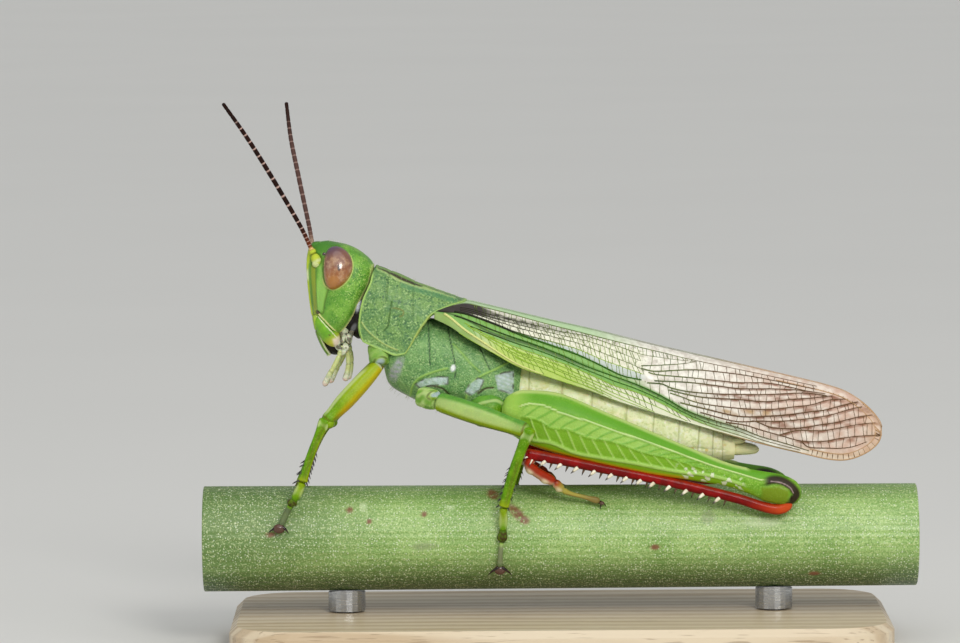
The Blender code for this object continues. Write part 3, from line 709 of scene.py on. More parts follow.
PALE_FLESH = Cuticle(
    "pale_flesh", (218, 220, 194), (176, 182, 150), patch=0.3, roughness=0.36, coat=0.15, depth=0.05,
    glow=0.1,
    layers={
        "stalk": (196, 204, 128, 0.85), "rosy": (226, 198, 184, 0.9), "tip": (196, 160, 150, 0.5),
        # crease darkens creases and joints; on the lower lip's sides it is painted shade
        "crease": (58, 42, 30, 0.85),
    },
)
# Near-black membrane: painted shade for the deep neck fold and the mouth; the pale layer marks the neck's
# pale plates.
PAINTED_SHADE_FLESH = Cuticle(
    "dark_membrane", (30, 18, 16), (14, 10, 12), patch=0.5, roughness=0.45, coat=0.05, depth=0.08,
    layers={"pale": (196, 198, 206, 0.9)},
)
HAIR = Cuticle("pale_hair", (214, 216, 188), (186, 196, 150), patch=0.5, roughness=0.4, coat=0.0, depth=0.0)
FEELER_HORN = Cuticle(
    "feeler_horn", (38, 14, 6), (26, 10, 6), patch=0.6, roughness=0.55, coat=0.0, gloss=0.12,
    layers={
        "russet": (134, 62, 28, 0.85), "bloom": (104, 76, 70, 0.8), "beige": (206, 178, 156, 0.9),
        "ring": (206, 172, 160, 0.9), "joint": (226, 190, 120, 0.95), "scape": (186, 200, 62, 0.98),
        # shine: a painted highlight on the scape's bulb
        "seam": (70, 60, 20, 0.8), "shine": (236, 240, 214, 0.8),
    },
)


@dataclass(frozen=True)
class Lens:
    """Glossy eye: a top tone that runs into a lower tone, with marbling.

    Attributes:
        name: the material's name.
        upper: tone of the upper part.
        lower: tone of the lower part.
        roughness: roughness of the clear outside.
    """

    name: str
    upper: Sequence[int]
    lower: Sequence[int]
    roughness: float

    def material(self) -> bpy.types.Material:
        """Build the material."""
        mix = Recipe(self.name)
        colour = mix.mix(mix.mask("low"), self.upper, self.lower)
        for strength, swatch in (
            (mix.noise(0.35, 3.0).band(0.38, 0.66) * mix.mask("middle") * 0.6, (196, 158, 120)),
            (mix.noise(0.16).band(0.42, 0.6) * 0.3, (122, 84, 60)), (mix.mask("dusk"), (70, 60, 92)),
            (mix.mask("amber") * 0.8, (170, 112, 44)), (mix.mask("pupil"), (48, 26, 22)),
        ):
            colour = mix.mix(strength, colour, swatch)
        roughness = mix.noise(0.2).band(0.3, 0.7, self.roughness, self.roughness + 0.08)
        facets = mix.cells(0.055)[0].band(0.6, 0.1)
        return mix.finish(colour, roughness, facets, 0.002, Coat_Weight=0.5, Coat_Roughness=0.08, IOR=1.5)


@dataclass
class Head:
    """Head capsule: rings that run down from the crown, ridged face, rimmed eye sockets."""

    rows: Line = (  # face x, z, rear x, z, half width
        (-17.12, 28.4, -16.05, 28.54, 0.38), (-17.32, 28.15, -14.6, 28.2, 1.0),
        (-17.5, 27.6, -13.55, 27.58, 1.42), (-17.58, 26.7, -12.92, 26.8, 1.78),
        (-17.52, 25.6, -13.05, 25.65, 1.98), (-17.42, 24.6, -13.5, 24.8, 2.06),
        (-17.32, 23.8, -13.9, 23.9, 2.04), (-17.22, 23.3, -14.45, 22.95, 1.92),
        (-16.95, 22.95, -15.05, 22.25, 1.6), (-16.7, 22.8, -15.3, 22.1, 1.2),
    )
    face_taper: float = 0.22
    costa_half_width: float = 0.34
    costa_height: float = 0.07
    eye_centre: tuple[float, float] = (-15.42, 26.78)
    eye_radii: tuple[float, float] = (1.0, 1.42)
    eye_bow: float = 0.24
    eye_lean: float = 8.0
    facial_ridge: Line = ((-16.72, 27.2), (-16.82, 26.2), (-16.88, 25.1), (-16.9, 24.2), (-16.9, 23.45))
    stripe: Line = ((-17.14, 27.25), (-17.16, 26.2), (-17.1, 25.15), (-17.04, 24.1), (-16.98, 23.1))
    pricks: int = 70
    prick_field: tuple[tuple[float, float], ...] = ((-16.4, -13.6), (22.6, 28.2))
    panel: Line = (
        (-16.62, 27), (-16.3, 25.6), (-16.22, 25.2), (-16.5, 23.75), (-16.85, 23.6), (-16.84, 25.4),
    )
    cheek_groove: Line = ((-16.08, 25.3), (-16.24, 24.8), (-16.36, 24.3), (-16.5, 23.55), (-16.78, 23.6))
    rear_margin: Line = (
        (-13.02, 26.8), (-13.12, 26.2), (-13.34, 25.45), (-13.72, 24.72), (-14.05, 24.1), (-14.3, 23.5),
        (-14.65, 22.9), (-15.08, 22.34), (-15.44, 22.02),
    )
    lower_margin: Line = ((-16.88, 23.62), (-16.36, 23.1), (-15.8, 22.52), (-15.36, 22.08))
    ocellus: tuple[float, float, float] = (-16.34, 1.13, 27.66)
    fuzz: Fuzz = Fuzz(
        ((-16.9, 28.5), (-16.0, 28.52), (-15.0, 28.34), (-14.2, 27.95), (-12.9, 26.95)),
        0.55, -0.16, 0.4, -0.05, 1, 46, 5,
    )

    def _eye_reach(self, x: Array, z: Array) -> Array:
        """Distance from the eye's middle as a share of its outline's."""
        c, s = math.cos(math.radians(self.eye_lean)), math.sin(math.radians(self.eye_lean))
        dx, dz = x - self.eye_centre[0], z - self.eye_centre[1]
        dx = dx + self.eye_bow * np.clip(dz / self.eye_radii[1], -1, 1) ** 2
        return np.hypot((dx * c - dz * s) / self.eye_radii[0], (dz * c + dx * s) / self.eye_radii[1])

    def capsule(self) -> Skin:
        """Rings of a superellipse, then each ridge and groove pushed out or in.

        The frontal costa is a flat-topped bar down the middle of the face, with a shallow
        channel along it; the other features are strokes in the side view, so both sides
        of the head carry them.
        """
        skin = Skin(body_rings(smooth(self.rows, 200), 2.2, 264, self.face_taper))
        x, y, z = skin.xyz
        y = np.abs(y)
        front = ramp(x, -16.55, -16.95)
        bar = ramp(y, self.costa_half_width + 0.12, self.costa_half_width) * front
        channel = ramp(y, 0.2, 0.08) * front * between(z, 23.4, 26.9, 0.3)
        side, beside = ramp(y, 0.42, 0.62), ramp(y, 0.36, 0.5)
        ridge = stroke(x, z, self.facial_ridge, 0.26) * side
        # The olive stripe beside the frontal costa is painted shade of its groove; the stroke also sinks that
        # groove a little.
        stripe = stroke(x, z, self.stripe, 0.44) * beside
        groove = most(stroke(x, z, self.cheek_groove, 0.17) * side, *(
            stroke(x, z, [(a + step, b) for a, b in self.stripe], 0.1) * 0.6 * beside
            for step in (-0.19, 0.18)
        ))
        margin = stroke(x, z, self.rear_margin, 0.3)
        lower = stroke(x, z, self.lower_margin, 0.15)
        hinge = spot(x, z, self.lower_margin[0], (0.22, 0.2))
        reach = self._eye_reach(x, z)
        rim = bell(reach, 1.075, 0.035) * side
        pit = spot(x, z, (-16.98, 27.25), (0.62, 0.62)) * ramp(y, 0.3, 0.6)
        draw = np.random.default_rng(11)
        pricks = np.column_stack([draw.uniform(*ends, self.pricks) for ends in self.prick_field])
        pricks = most(*(spot(x, z, place, (0.055, 0.055)) for place in pricks)) * side
        skin.masks = {
            "crown": ramp(z, 27.3, 28.0) * ramp(x, -14.6, -15.8),
            "panel": region(x, z, self.panel, 0.22) * side,
            "costa": ramp(y, 0.62, 0.4) * front * ramp(z, 28.2, 27.7),
            # shine: painted highlight on the upper face
            "shine": spot(x, z, (-17.42, 26.2), (0.26, 0.55)) * ramp(y, 0.55, 0.4),
            "stripe": stripe, "groove": groove, "rim": rim * ramp(z - 0.9 * (x + 15.4), 27.4, 26.4),
            "ring": bell(reach, 1.01, 0.03) * side, "socket": pit, "hinge": hinge, "pricks": pricks,
            "margin": most(margin * (0.45 + 0.55 * ramp(z, 25.6, 24.4)), lower),
            "rough": most(spot(x, z, (-13.9, 25.6), (1.4, 2.4), -12) * side, 0.5 * ramp(x, -16.4, -15.6)),
        }
        skin.push(
            self.costa_height * bar - 0.05 * channel + 0.06 * ridge - 0.05 * groove + 0.035 * rim
            + 0.05 * margin + 0.04 * lower - 0.06 * hinge - 0.05 * stripe - 0.02 * pricks - 0.16 * pit
        )
        return skin

    def build(self) -> None:
        """Make the capsule, its ocelli and its hairs."""
        fit(self.capsule(), "head_capsule", HEAD_SHELL.material(), "head_green", "head")
        bulb = bead(self.ocellus, (0.15, 0.11, 0.15), rings=12, sides=16).shape()
        glass = Lens("ocellus_glass", (70, 60, 56), (30, 24, 24), 0.05).material()
        fit(joined((bulb, bulb.mirrored())), "ocelli", glass, "eye_brown")
        fit(self.fuzz.shape(), "crown_hairs", HAIR.material(), "head_green")


@dataclass
class Eyes:
    """Compound eyes: egg-shaped domes, a little flatter towards the face."""

    centre: tuple[float, float, float] = (-15.42, 1.58, 26.74)
    radii: tuple[float, float, float] = (1.09, 0.86, 1.5)
    lean: float = 8.0
    front_flattening: float = 0.1
    lower_narrowing: float = 0.16
    tilt: float = 0.2
    bow: float = 0.24

    def dome(self) -> Skin:
        """An ellipsoid narrowed towards its lower end and flattened towards the face.

        Its lower end stands further out by `tilt` for each millimetre down, and both ends
        bend towards the face by `bow`. Masks follow the eye's own upright and forward shares.
        """
        skin = bead(self.centre, self.radii, self.lean, 90, 128)
        x, y, z = skin.xyz
        cx, _, cz = self.centre
        up, ahead = (z - cz) / self.radii[2], (cx - x) / self.radii[0]
        narrow = 1 - self.lower_narrowing * np.clip(-up, 0, 1) ** 1.5
        flat = 1 - self.front_flattening * np.clip(ahead, 0, 1) ** 2
        bent = cx + (x - cx) * narrow * flat - self.bow * up**2
        skin.points = np.stack((bent, y - self.tilt * (z - cz), z), axis=-1)
        skin.masks = {
            "low": ramp(up, 0.35, -0.5), "middle": between(up, -0.5, 0.4, 0.3),
            "dusk": ramp(up + 0.25 * ahead, 0.5, 1.1) * 0.85,
            "amber": spot(ahead, up, (0.25, -0.62), (0.55, 0.4)),
            "pupil": spot(-ahead, up, (0.1, 0.06), (0.12, 0.21), 8),
        }
        return skin

    def build(self) -> None:
        """Make both eyes."""
        lens, dome = Lens("compound_eye", (128, 84, 68), (162, 100, 44), 0.12).material(), self.dome()
        for side in Side:
            fit(side.turn(dome), f"eye_dome_{side.word}", lens, "eye_brown", f"eye_{side.word}")


@dataclass
class Feelers:
    """Antennae: a bulb and a collar at the root, then a whip of ringed segments."""

    left: Line = (
        (-16.72, -0.92, 26.86), (-17.28, -0.76, 28.05), (-18.05, -0.8, 29.7), (-19.9, -1.3, 33.0),
        (-21.6, -1.95, 35.85), (-23.26, -2.61, 38.34),
    )
    right: Line = (
        (-16.72, 0.92, 26.96), (-17.18, 0.76, 28.15), (-17.48, 0.82, 29.7), (-18.15, 1.3, 32.9),
        (-18.7, 1.95, 35.6), (-19.02, 2.62, 38.12),
    )
    form: Line = ((0, 0.125), (0.3, 0.14), (0.7, 0.15), (1, 0.115))
    segments: int = 22
    whip_from: float = 0.2  # share of the length where the ringed whip starts
    waist_depth: float = 0.13
    scape_at: float = 0.07
    scape_radius: float = 0.34
    pedicel_at: float = 0.168
    pedicel_radius: float = 0.105
    rings: int = 520
    sides: int = 20

    def whip(self, path: Line, pale: float) -> Skin:
        """The whole feeler as one turned profile along its path; `pale` is 1 for the right one.

        The radius is the whip's, with a shallow waist at each joint, and swells to the
        scape and the pedicel over the first fifth.
        """
        share = np.linspace(0, 1, self.rings)
        beat = np.clip(share - self.whip_from, 0, 1) / (1 - self.whip_from) * self.segments
        off = np.abs(beat - np.round(beat)) / self.segments * 11.2
        waist = ramp(off, 0.09, 0.0) * (share > 0.21)
        bulb = np.sqrt(np.clip(1 - ((share - self.scape_at) / 0.075) ** 2, 0, 1)) * self.scape_radius
        pedicel = np.exp(-(((share - self.pedicel_at) / 0.024) ** 4)) * self.pedicel_radius
        stalk = (read(self.form, share) * (1 - self.waist_depth * waist) + pedicel) * ramp(share, 0.0, 0.05)
        end = np.sqrt(1 - np.clip((share - 0.992) / 0.008, 0, 1) ** 2)
        radius = most(stalk, bulb) * end + 0.012
        ring = ramp(off, 0.055, 0.02) * (share > 0.22) * ramp(share, 0.93, 0.86)
        masks = {
            "russet": ramp(share, 0.42, 0.14) * 0.9, "bloom": 0.75 * pale * ramp(share, 1.0, 0.7),
            "beige": pale * ramp(share, 0.36, 0.16), "ring": ring * (1 - 0.6 * pale) * 0.9,
            "joint": bell(share, 0.198, 0.012), "scape": ramp(share, 0.19, 0.18),
            # shine: painted highlight on the bulb near the root
            "seam": bell(share, 0.142, 0.008) * 0.8, "shine": bell(share, 0.05, 0.02) * 0.5,
        }
        points = sweep(smooth_at(path, share), radius, radius, (0.2, 1.0, 0.1), self.sides)
        return Skin(points, masks={name: mask[:, None] for name, mask in masks.items()})

    def build(self) -> None:
        """Make both feelers."""
        horn = FEELER_HORN.material()
        for side, path, pale in ((Side.LEFT, self.left, 0), (Side.RIGHT, self.right, 1)):
            socket = bead((-16.93, side.value * 1.02, 26.98), (0.27, 0.2, 0.25), 20).shape()
            # The socket bead takes the scape colour and a painted highlight.
            made = joined((self.whip(path, pale).shape(), socket.marked(scape=0.9, shine=0.45)))
            fit(made, f"feeler_{side.word}", horn, "antenna_brown", f"antenna_{side.word}")


@dataclass
class Mouth:
    """Clypeus and lip, jaws, the pale lumps of the maxillae, and four palps."""

    lip_rows: Line = (  # x, z of the front, half width, thickness
        (-17.26, 23.35, 1.1, 0.55), (-17.24, 23.05, 1.18, 0.55), (-17.12, 22.45, 1.22, 0.42),
        (-16.92, 21.8, 1.2, 0.32), (-16.58, 21.05, 1.05, 0.27), (-16.2, 20.48, 0.75, 0.24),
    )
    lip_suture: float = 22.3
    lip_lean: float = 0.12  # how much higher the rear of the lip stands
    jaw_centre: tuple[float, float, float] = (-16.18, 0.92, 22.28)
    jaw_radii: tuple[float, float, float] = (0.68, 0.78, 1.28)
    jaw_lean: float = -34.0
    lumps: Line = (  # x, y, z, half width, half length and lean of the pale lobes behind the jaw
        (-15.02, 1.0, 22.18, 0.24, 0.36, 30), (-14.7, 0.96, 21.72, 0.2, 0.36, -18),
        (-15.22, 1.04, 21.6, 0.2, 0.32, 48), (-14.92, 0.94, 21.14, 0.23, 0.28, 10),
        (-15.4, 1.06, 21.16, 0.18, 0.28, -40), (-14.5, 0.84, 22.12, 0.16, 0.24, 0),
        (-15.12, 1.0, 20.8, 0.17, 0.24, 60),
    )
    maxillary_palp: Line = (
        (-15.2, 0.98, 21.25), (-15.36, 1.04, 20.6), (-15.66, 1.1, 19.95), (-16.05, 1.14, 19.25),
        (-16.46, 1.1, 18.42),
    )
    labial_palp: Line = ((-14.95, 0.5, 21.4), (-14.76, 0.6, 20.4), (-14.78, 0.64, 19.6), (-15.0, 0.66, 18.72))
    palp_radius: float = 0.19
    jaw_keel: Line = ((-16.86, 23.36), (-16.36, 22.8), (-15.86, 22.26), (-15.46, 21.78))
    jaw_groove: Line = ((-16.8, 23.5), (-16.3, 22.95), (-15.76, 22.38))
    jaw_foot: Line = ((-15.8, 21.75), (-15.35, 21.95), (-15.1, 21.0), (-15.7, 21.15))

    def lip(self) -> Skin:
        """Clypeus and lip: a thin plate bent over the mouth, rimmed along its edges."""
        rows = smooth(self.lip_rows, 90)
        front, height, width, depth = rows.T
        sections = np.column_stack((front, height, front + depth, height + self.lip_lean, width))
        skin = Skin(body_rings(sections, 3.4, 96))
        x, y, z = skin.xyz
        edge = ramp((x - rows[:, :1]) / rows[:, 3:], 0.55, 0.8) * ramp(z, 22.5, 22.2)
        suture = bell(z, self.lip_suture, 0.07)
        skin.masks = {
            "edge": most(edge, ramp(z, 20.66, 20.52)),
            "line": most(suture, 0.8 * bell(np.abs(y), 0.75, 0.05) * (z > self.lip_suture)),
            "lip": ramp(z, 22.5, 22.1), "warm": 0.35 * ramp(z, 22.2, 22.9),
        }
        skin.push(0.03 * skin.masks["edge"] - 0.05 * suture)
        return skin

    def jaw(self) -> Skin:
        """One jaw: an egg with a keel along its upper edge and a rosy foot."""
        skin = bead(self.jaw_centre, self.jaw_radii, self.jaw_lean, 60, 80)
        x, _, z = skin.xyz
        lean = math.radians(self.jaw_lean)
        along = (self.jaw_centre[2] - z) * math.cos(lean) - (x - self.jaw_centre[0]) * math.sin(lean)
        keel = stroke(x, z, self.jaw_keel, 0.085)
        skin.masks = {
            "warm": ramp(along / self.jaw_radii[2], 0.1, 0.75), "edge": keel,
            "rosy": region(x, z, self.jaw_foot, 0.25),
            "line": most(stroke(x, z, self.jaw_groove, 0.2), spot(x, z, (-16.02, 22.05), (0.09, 0.07))),
        }
        skin.push(0.05 * keel)
        return skin

    def maxilla(self) -> Shape:
        """The pale lobes of one side, creased and a little lumpy."""
        lobes = []
        for x, y, z, width, length, lean in self.lumps:
            lobe = bead((x, y, z), (width, width * 0.9, length), lean, 26, 30)
            lobe.masks = {"crease": 0.9 * ramp(mottle(lobe.points, 0.5, 3), 0.42, 0.2)}
            lobe.push(0.06 * mottle(lobe.points, 0.35, 8))
            lobes.append(lobe.shape())
        return joined(lobes)

    def palp(self, path: Line, joints: Numbers) -> Skin:
        """A jointed palp: a slim tube pinched at its joints, with a rounded pinkish tip."""
        share = crowd_ends(120, 0.1)
        near = np.abs(share[:, None] - joints).min(axis=1)
        radius = self.palp_radius * (1 - 0.24 * ramp(near, 0.035, 0)) * (0.9 + 0.28 * ramp(share, 0.6, 0.95))
        radius = radius * np.sqrt(most(1 - np.clip((share - 0.92) / 0.08, 0, 1) ** 2, 0.01))
        rows = np.column_stack((smooth_at(path, share), radius))
        skin, place = limb(rows, 120, 24, round_start=0.02, round_end=0.02)
        near = np.abs(place - joints).min(axis=1)[:, None]
        skin.masks = {
            "stalk": ramp(place, 0.75, 0.6), "rosy": ramp(place, 0.78, 0.9), "tip": ramp(place, 0.95, 1.0),
            "crease": 0.45 * ramp(near, 0.02, 0),
        }
        return skin

    def build(self) -> None:
        """Make the lip, the jaws, the maxillae, the lower lip and the palps."""
        shell, flesh = MOUTH_SHELL.material(), PALE_FLESH.material()
        fit(self.lip(), "upper_lip", shell, "head_green", "labrum")
        jaw, lumps = self.jaw(), self.maxilla()
        palps = (  # kind, shape, how far the right one stands back
            ("maxillary", self.palp(self.maxillary_palp, (0.12, 0.28, 0.62)).shape(), 0.34),
            ("labial", self.palp(self.labial_palp, (0.2, 0.52)).shape(), 0.18),
        )
        for side in Side:
            word = side.word
            fit(side.turn(jaw), f"jaw_{word}", shell, "head_green", f"mandible_{word}")
            fit(side.turn(lumps), f"maxilla_{word}", flesh, "mouth_pale")
            for kind, palp, back in palps:
                step = (back * (side is Side.RIGHT), 0, 0)
                fit(
                    side.turn(palp.moved(step)), f"{kind}_palp_{word}", flesh, "mouth_pale",
                    f"palp_{kind}_{word}",
                )
        labium = bead((-15.0, 0, 21.75), (0.55, 1.15, 0.8), 0, 40, 56)
        y = np.abs(labium.xyz[1])
        # Dark sides are painted shade behind the pale lobes; the dark middle line follows the crease.
        labium.masks = {"crease": most(ramp(y, 0.08, 0.02) * 0.8, ramp(y, 0.5, 0.95))}
        labium.push(-0.12 * labium.masks["crease"])
        fit(labium, "lower_lip", flesh, "mouth_pale", "labium")
        # A dark bead behind the jaws and lip: painted shade where the mouth lies in shadow.
        shade_bead = bead((-15.8, 0, 21.55), (0.82, 1.12, 1.05), -20, 30, 40)
        fit(shade_bead, "mouth_shade_bead", PAINTED_SHADE_FLESH.material(), "mouth_pale")


@dataclass
class Neck:
    """The folded membrane between head and pronotum, dark as painted shade of the deep fold, with two pale
    plates.
    """

    rows: Line = (
        (-15.4, 25.6, -15.6, 22.6, 1.25), (-14.4, 25.4, -14.7, 21.9, 1.45),
        (-13.2, 25.2, -13.3, 21.6, 1.5), (-12.4, 24.9, -12.5, 21.5, 1.45),
    )

    def membrane(self) -> Skin:
        """Rings with two soft folds; the pale plate is a slanting oval on each side."""
        skin = Skin(body_rings(smooth(self.rows, 60), 2.15, 90))
        x, y, z = skin.xyz
        pale = spot(x, z, (-13.95, 24.05), (0.28, 0.55), -25) * ramp(np.abs(y), 0.5, 0.9)
        skin.masks = {"pale": most(pale, spot(x, z, (-14.35, 22.5), (0.2, 0.5), -30) * 0.35)}
        skin.push(0.07 * np.sin(x * 7.5) + 0.08 * pale)
        return skin

    def build(self) -> None:
        """Make the neck."""
        fit(self.membrane(), "neck_membrane", PAINTED_SHADE_FLESH.material(), "body_green", "neck")


# ------------------------------------------------------------------ thorax and abdomen
SHIELD_SHELL = Cuticle(
    "shield_shell", (116, 154, 82), (92, 134, 76), patch=0.7, grain=(172, 200, 132), grain_share=0.8,
    grain_size=0.14, grain_mask="rough", dark=(40, 78, 56), depth=0.06, glow=0.04,
    layers={
        "disc": (120, 158, 62, 0.85), "band": (86, 138, 92, 0.6), "streak": (58, 44, 30, 0.92),
        "crest": (186, 206, 128, 0.7), "fold": (62, 92, 46, 0.55), "patch": (120, 116, 50, 0.6),
        "ridge": (178, 198, 112, 0.75), "margin": (168, 204, 104, 0.8), "rear": (164, 176, 84, 0.6),
        "dots": (24, 18, 22, 0.9),
    },
)
FLANK_SHELL = Cuticle(
    "flank_shell", (124, 166, 96), (100, 146, 82), grain=(182, 206, 146), grain_share=0.6,
    grain_size=0.115, grain_mask="rough", dark=(44, 82, 56), depth=0.06, glow=0.04,
    layers={
        "olive": (112, 112, 48, 0.8), "rimmed": (150, 190, 88, 0.75), "seam": (44, 66, 50, 0.85),
        "pale": (198, 214, 214, 0.92), "dusky": (176, 172, 186, 0.9), "arc": (64, 46, 32, 0.85),
        "white": (236, 240, 236, 0.95),
    },
)
BELLY_SKIN = Cuticle(
    "belly_skin", (244, 244, 200), (226, 232, 172), patch=0.7, grain=(250, 250, 236), grain_share=0.6,
    grain_size=0.26, dark=(190, 200, 120), depth=0.03, glow=0.1,
    layers={
        "clear": (240, 242, 226, 0.75), "amber": (222, 196, 84, 0.8), "back": (196, 212, 120, 0.5),
        "fold": (168, 170, 100, 0.7), "rosy": (208, 190, 150, 0.6), "tip": (250, 244, 190, 0.9),
        "sooty": (84, 62, 34, 0.85),
    },
)


@dataclass
class Pronotum:
    """Saddle-shaped shield: one arched sheet with keels, furrows and raised margins."""

    edges: Line = (  # depth from the ridge, front x, rear x
        (0, -12.75, -6.45), (0.06, -12.95, -7.35), (0.2, -13.15, -8.65), (0.4, -13.62, -9.35),
        (0.6, -13.87, -9.85), (0.8, -13.95, -10.25), (1.0, -13.7, -10.7),
    )
    span: Line = (  # ridge z, lower z and half width from front to rear
        (26.75, 21.62, 2.2), (26.2, 21.25, 2.38), (25.45, 20.95, 2.46), (24.85, 20.66, 2.52),
        (24.32, 20.8, 2.55),
    )
    side_keel: Line = (
        (-12.66, 26.62), (-12.1, 26.38), (-11.5, 26.02), (-10.9, 25.72), (-9.89, 25.37), (-8.64, 25.02),
        (-7.25, 24.58),
    )
    streak: Line = ((-12.58, 26.68), (-11.85, 26.36), (-11.1, 25.96), (-10.3, 25.62), (-9.6, 25.4))
    furrow: Line = ((-11.66, 24.4), (-11.71, 23.99), (-11.85, 23.29), (-11.93, 22.73), (-12.21, 22.38))
    patch: Line = ((-11.57, 23.98), (-11.2, 23.92), (-10.87, 23.77), (-10.88, 23.49), (-11.1, 23.38))
    slant: Line = ((-13.75, 23), (-13.39, 22.46), (-12.77, 21.9), (-12.15, 21.45), (-11.3, 21.05))
    pits: Line = ((-12.0, 0.62), (-10.35, 0.5), (-7.75, 0.35), (-11.2, 0.3), (-9.1, 0.75))
    grid: tuple[int, int] = (180, 264)  # points along and across
    depth_power: float = 1.9
    arch_power: float = 3.6
    wall: float = 0.3
    fuzz: Fuzz = Fuzz(
        ((-12.5, 26.69), (-11.2, 26.12), (-9.6, 25.44), (-8.0, 24.86), (-7.0, 24.5)),
        1.3, -0.06, 0.12, -0.1, 1, 40, 21,
    )

    def sheet(self) -> Skin:
        """The arch: its height above the lower edge falls as a power of the way across.

        Front and rear edges bend back with depth; the width follows a steep superellipse
        so that the flanks hang nearly upright below the shoulders.
        """
        share = np.linspace(0, 1, self.grid[0])[:, None]
        across = np.linspace(-1, 1, self.grid[1])[None, :]
        depth = np.abs(across) ** self.depth_power
        table = np.asarray(self.edges)
        front, rear = read(table, depth), read(table[:, ::2], depth)
        ridge, edge, width = (column[:, None] for column in smooth(self.span, self.grid[0]).T)
        arch = (1 - (1 - depth) ** self.arch_power) ** (1 / self.arch_power)
        skin = Skin(np.stack((
            front + (rear - front) * share, np.sign(across) * width * arch, ridge + (edge - ridge) * depth,
        ), axis=-1), ring=False)
        self._dress(skin, share, depth)
        return skin

    def _dress(self, skin: Skin, share: Array, depth: Array) -> None:
        """Raise the keels and margins, sink the furrows, and name their masks."""
        x, across, z = skin.xyz
        y = np.abs(across)
        side = ramp(y, 0.7, 1.0)
        keel, streak, furrow, slant, patch = (
            stroke(x, z, line, width) * side for line, width in
            ((self.side_keel, 0.24), (self.streak, 0.34), (self.furrow, 0.13), (self.slant, 0.15),
             (self.patch, 0.16))
        )
        middle = ramp(y, 0.16, 0.03)
        inner = ramp(z - read(self.side_keel, x), -0.02, 0.14)
        cross = most(
            between(np.abs(x + 9.95 + 0.12 * y), 0, 0.03, 0.07) * ramp(depth, 0.55, 0.3) * 0.6,
            0.7 * between(np.abs(x + 11.6 + 0.2 * y), 0, 0.03, 0.08) * ramp(depth, 0.45, 0.2),
        )
        front, low, rear = ramp(share, 0.034, 0.012), ramp(depth, 0.955, 0.985), ramp(share, 0.955, 0.985)
        rough = ramp(inner, 0.6, 0.1) * ramp(share, 0, 0.05) * (1 - 0.8 * low) * (1 - 0.7 * slant)
        skin.masks = {
            "rough": rough, "disc": inner * (1 - streak), "streak": streak, "patch": patch, "ridge": slant,
            "band": stroke(x, z, [(a, b - 0.2) for a, b in self.side_keel[3:]], 0.5) * side,
            "crest": most(middle, 0.8 * keel * (1 - streak)), "fold": most(furrow, cross * 0.8),
            "margin": most(front * ramp(depth, 0.05, 0.12), low, 0.75 * rear),
            "rear": rear * ramp(depth, 0.18, 0.3),
            "dots": most(*(spot(x, across * way, (px + (way > 0) * 0.2, py), (0.07, 0.07))
                           for px, py in self.pits for way in (-1, 1))),
        }
        dent = ramp(reach_to(x, z, ((-11.25, 23.7), (-11.3, 22.8))), 0.5, 0) * side
        skin.push(
            0.07 * middle + 0.08 * keel - 0.07 * furrow - 0.05 * cross + 0.08 * slant - 0.05 * dent
            + 0.05 * most(front, low, rear) + 0.022 * (mottle(skin.points, 0.5, 3) - 0.5) * rough
        )

    def build(self) -> None:
        """Make the shield and its hairs."""
        shell = SHIELD_SHELL.material()
        fit(self.sheet(), "pronotum_shield", shell, "body_green", "pronotum", wall=self.wall)
        fit(self.fuzz.shape(), "pronotum_hairs", HAIR.material(), "body_green")


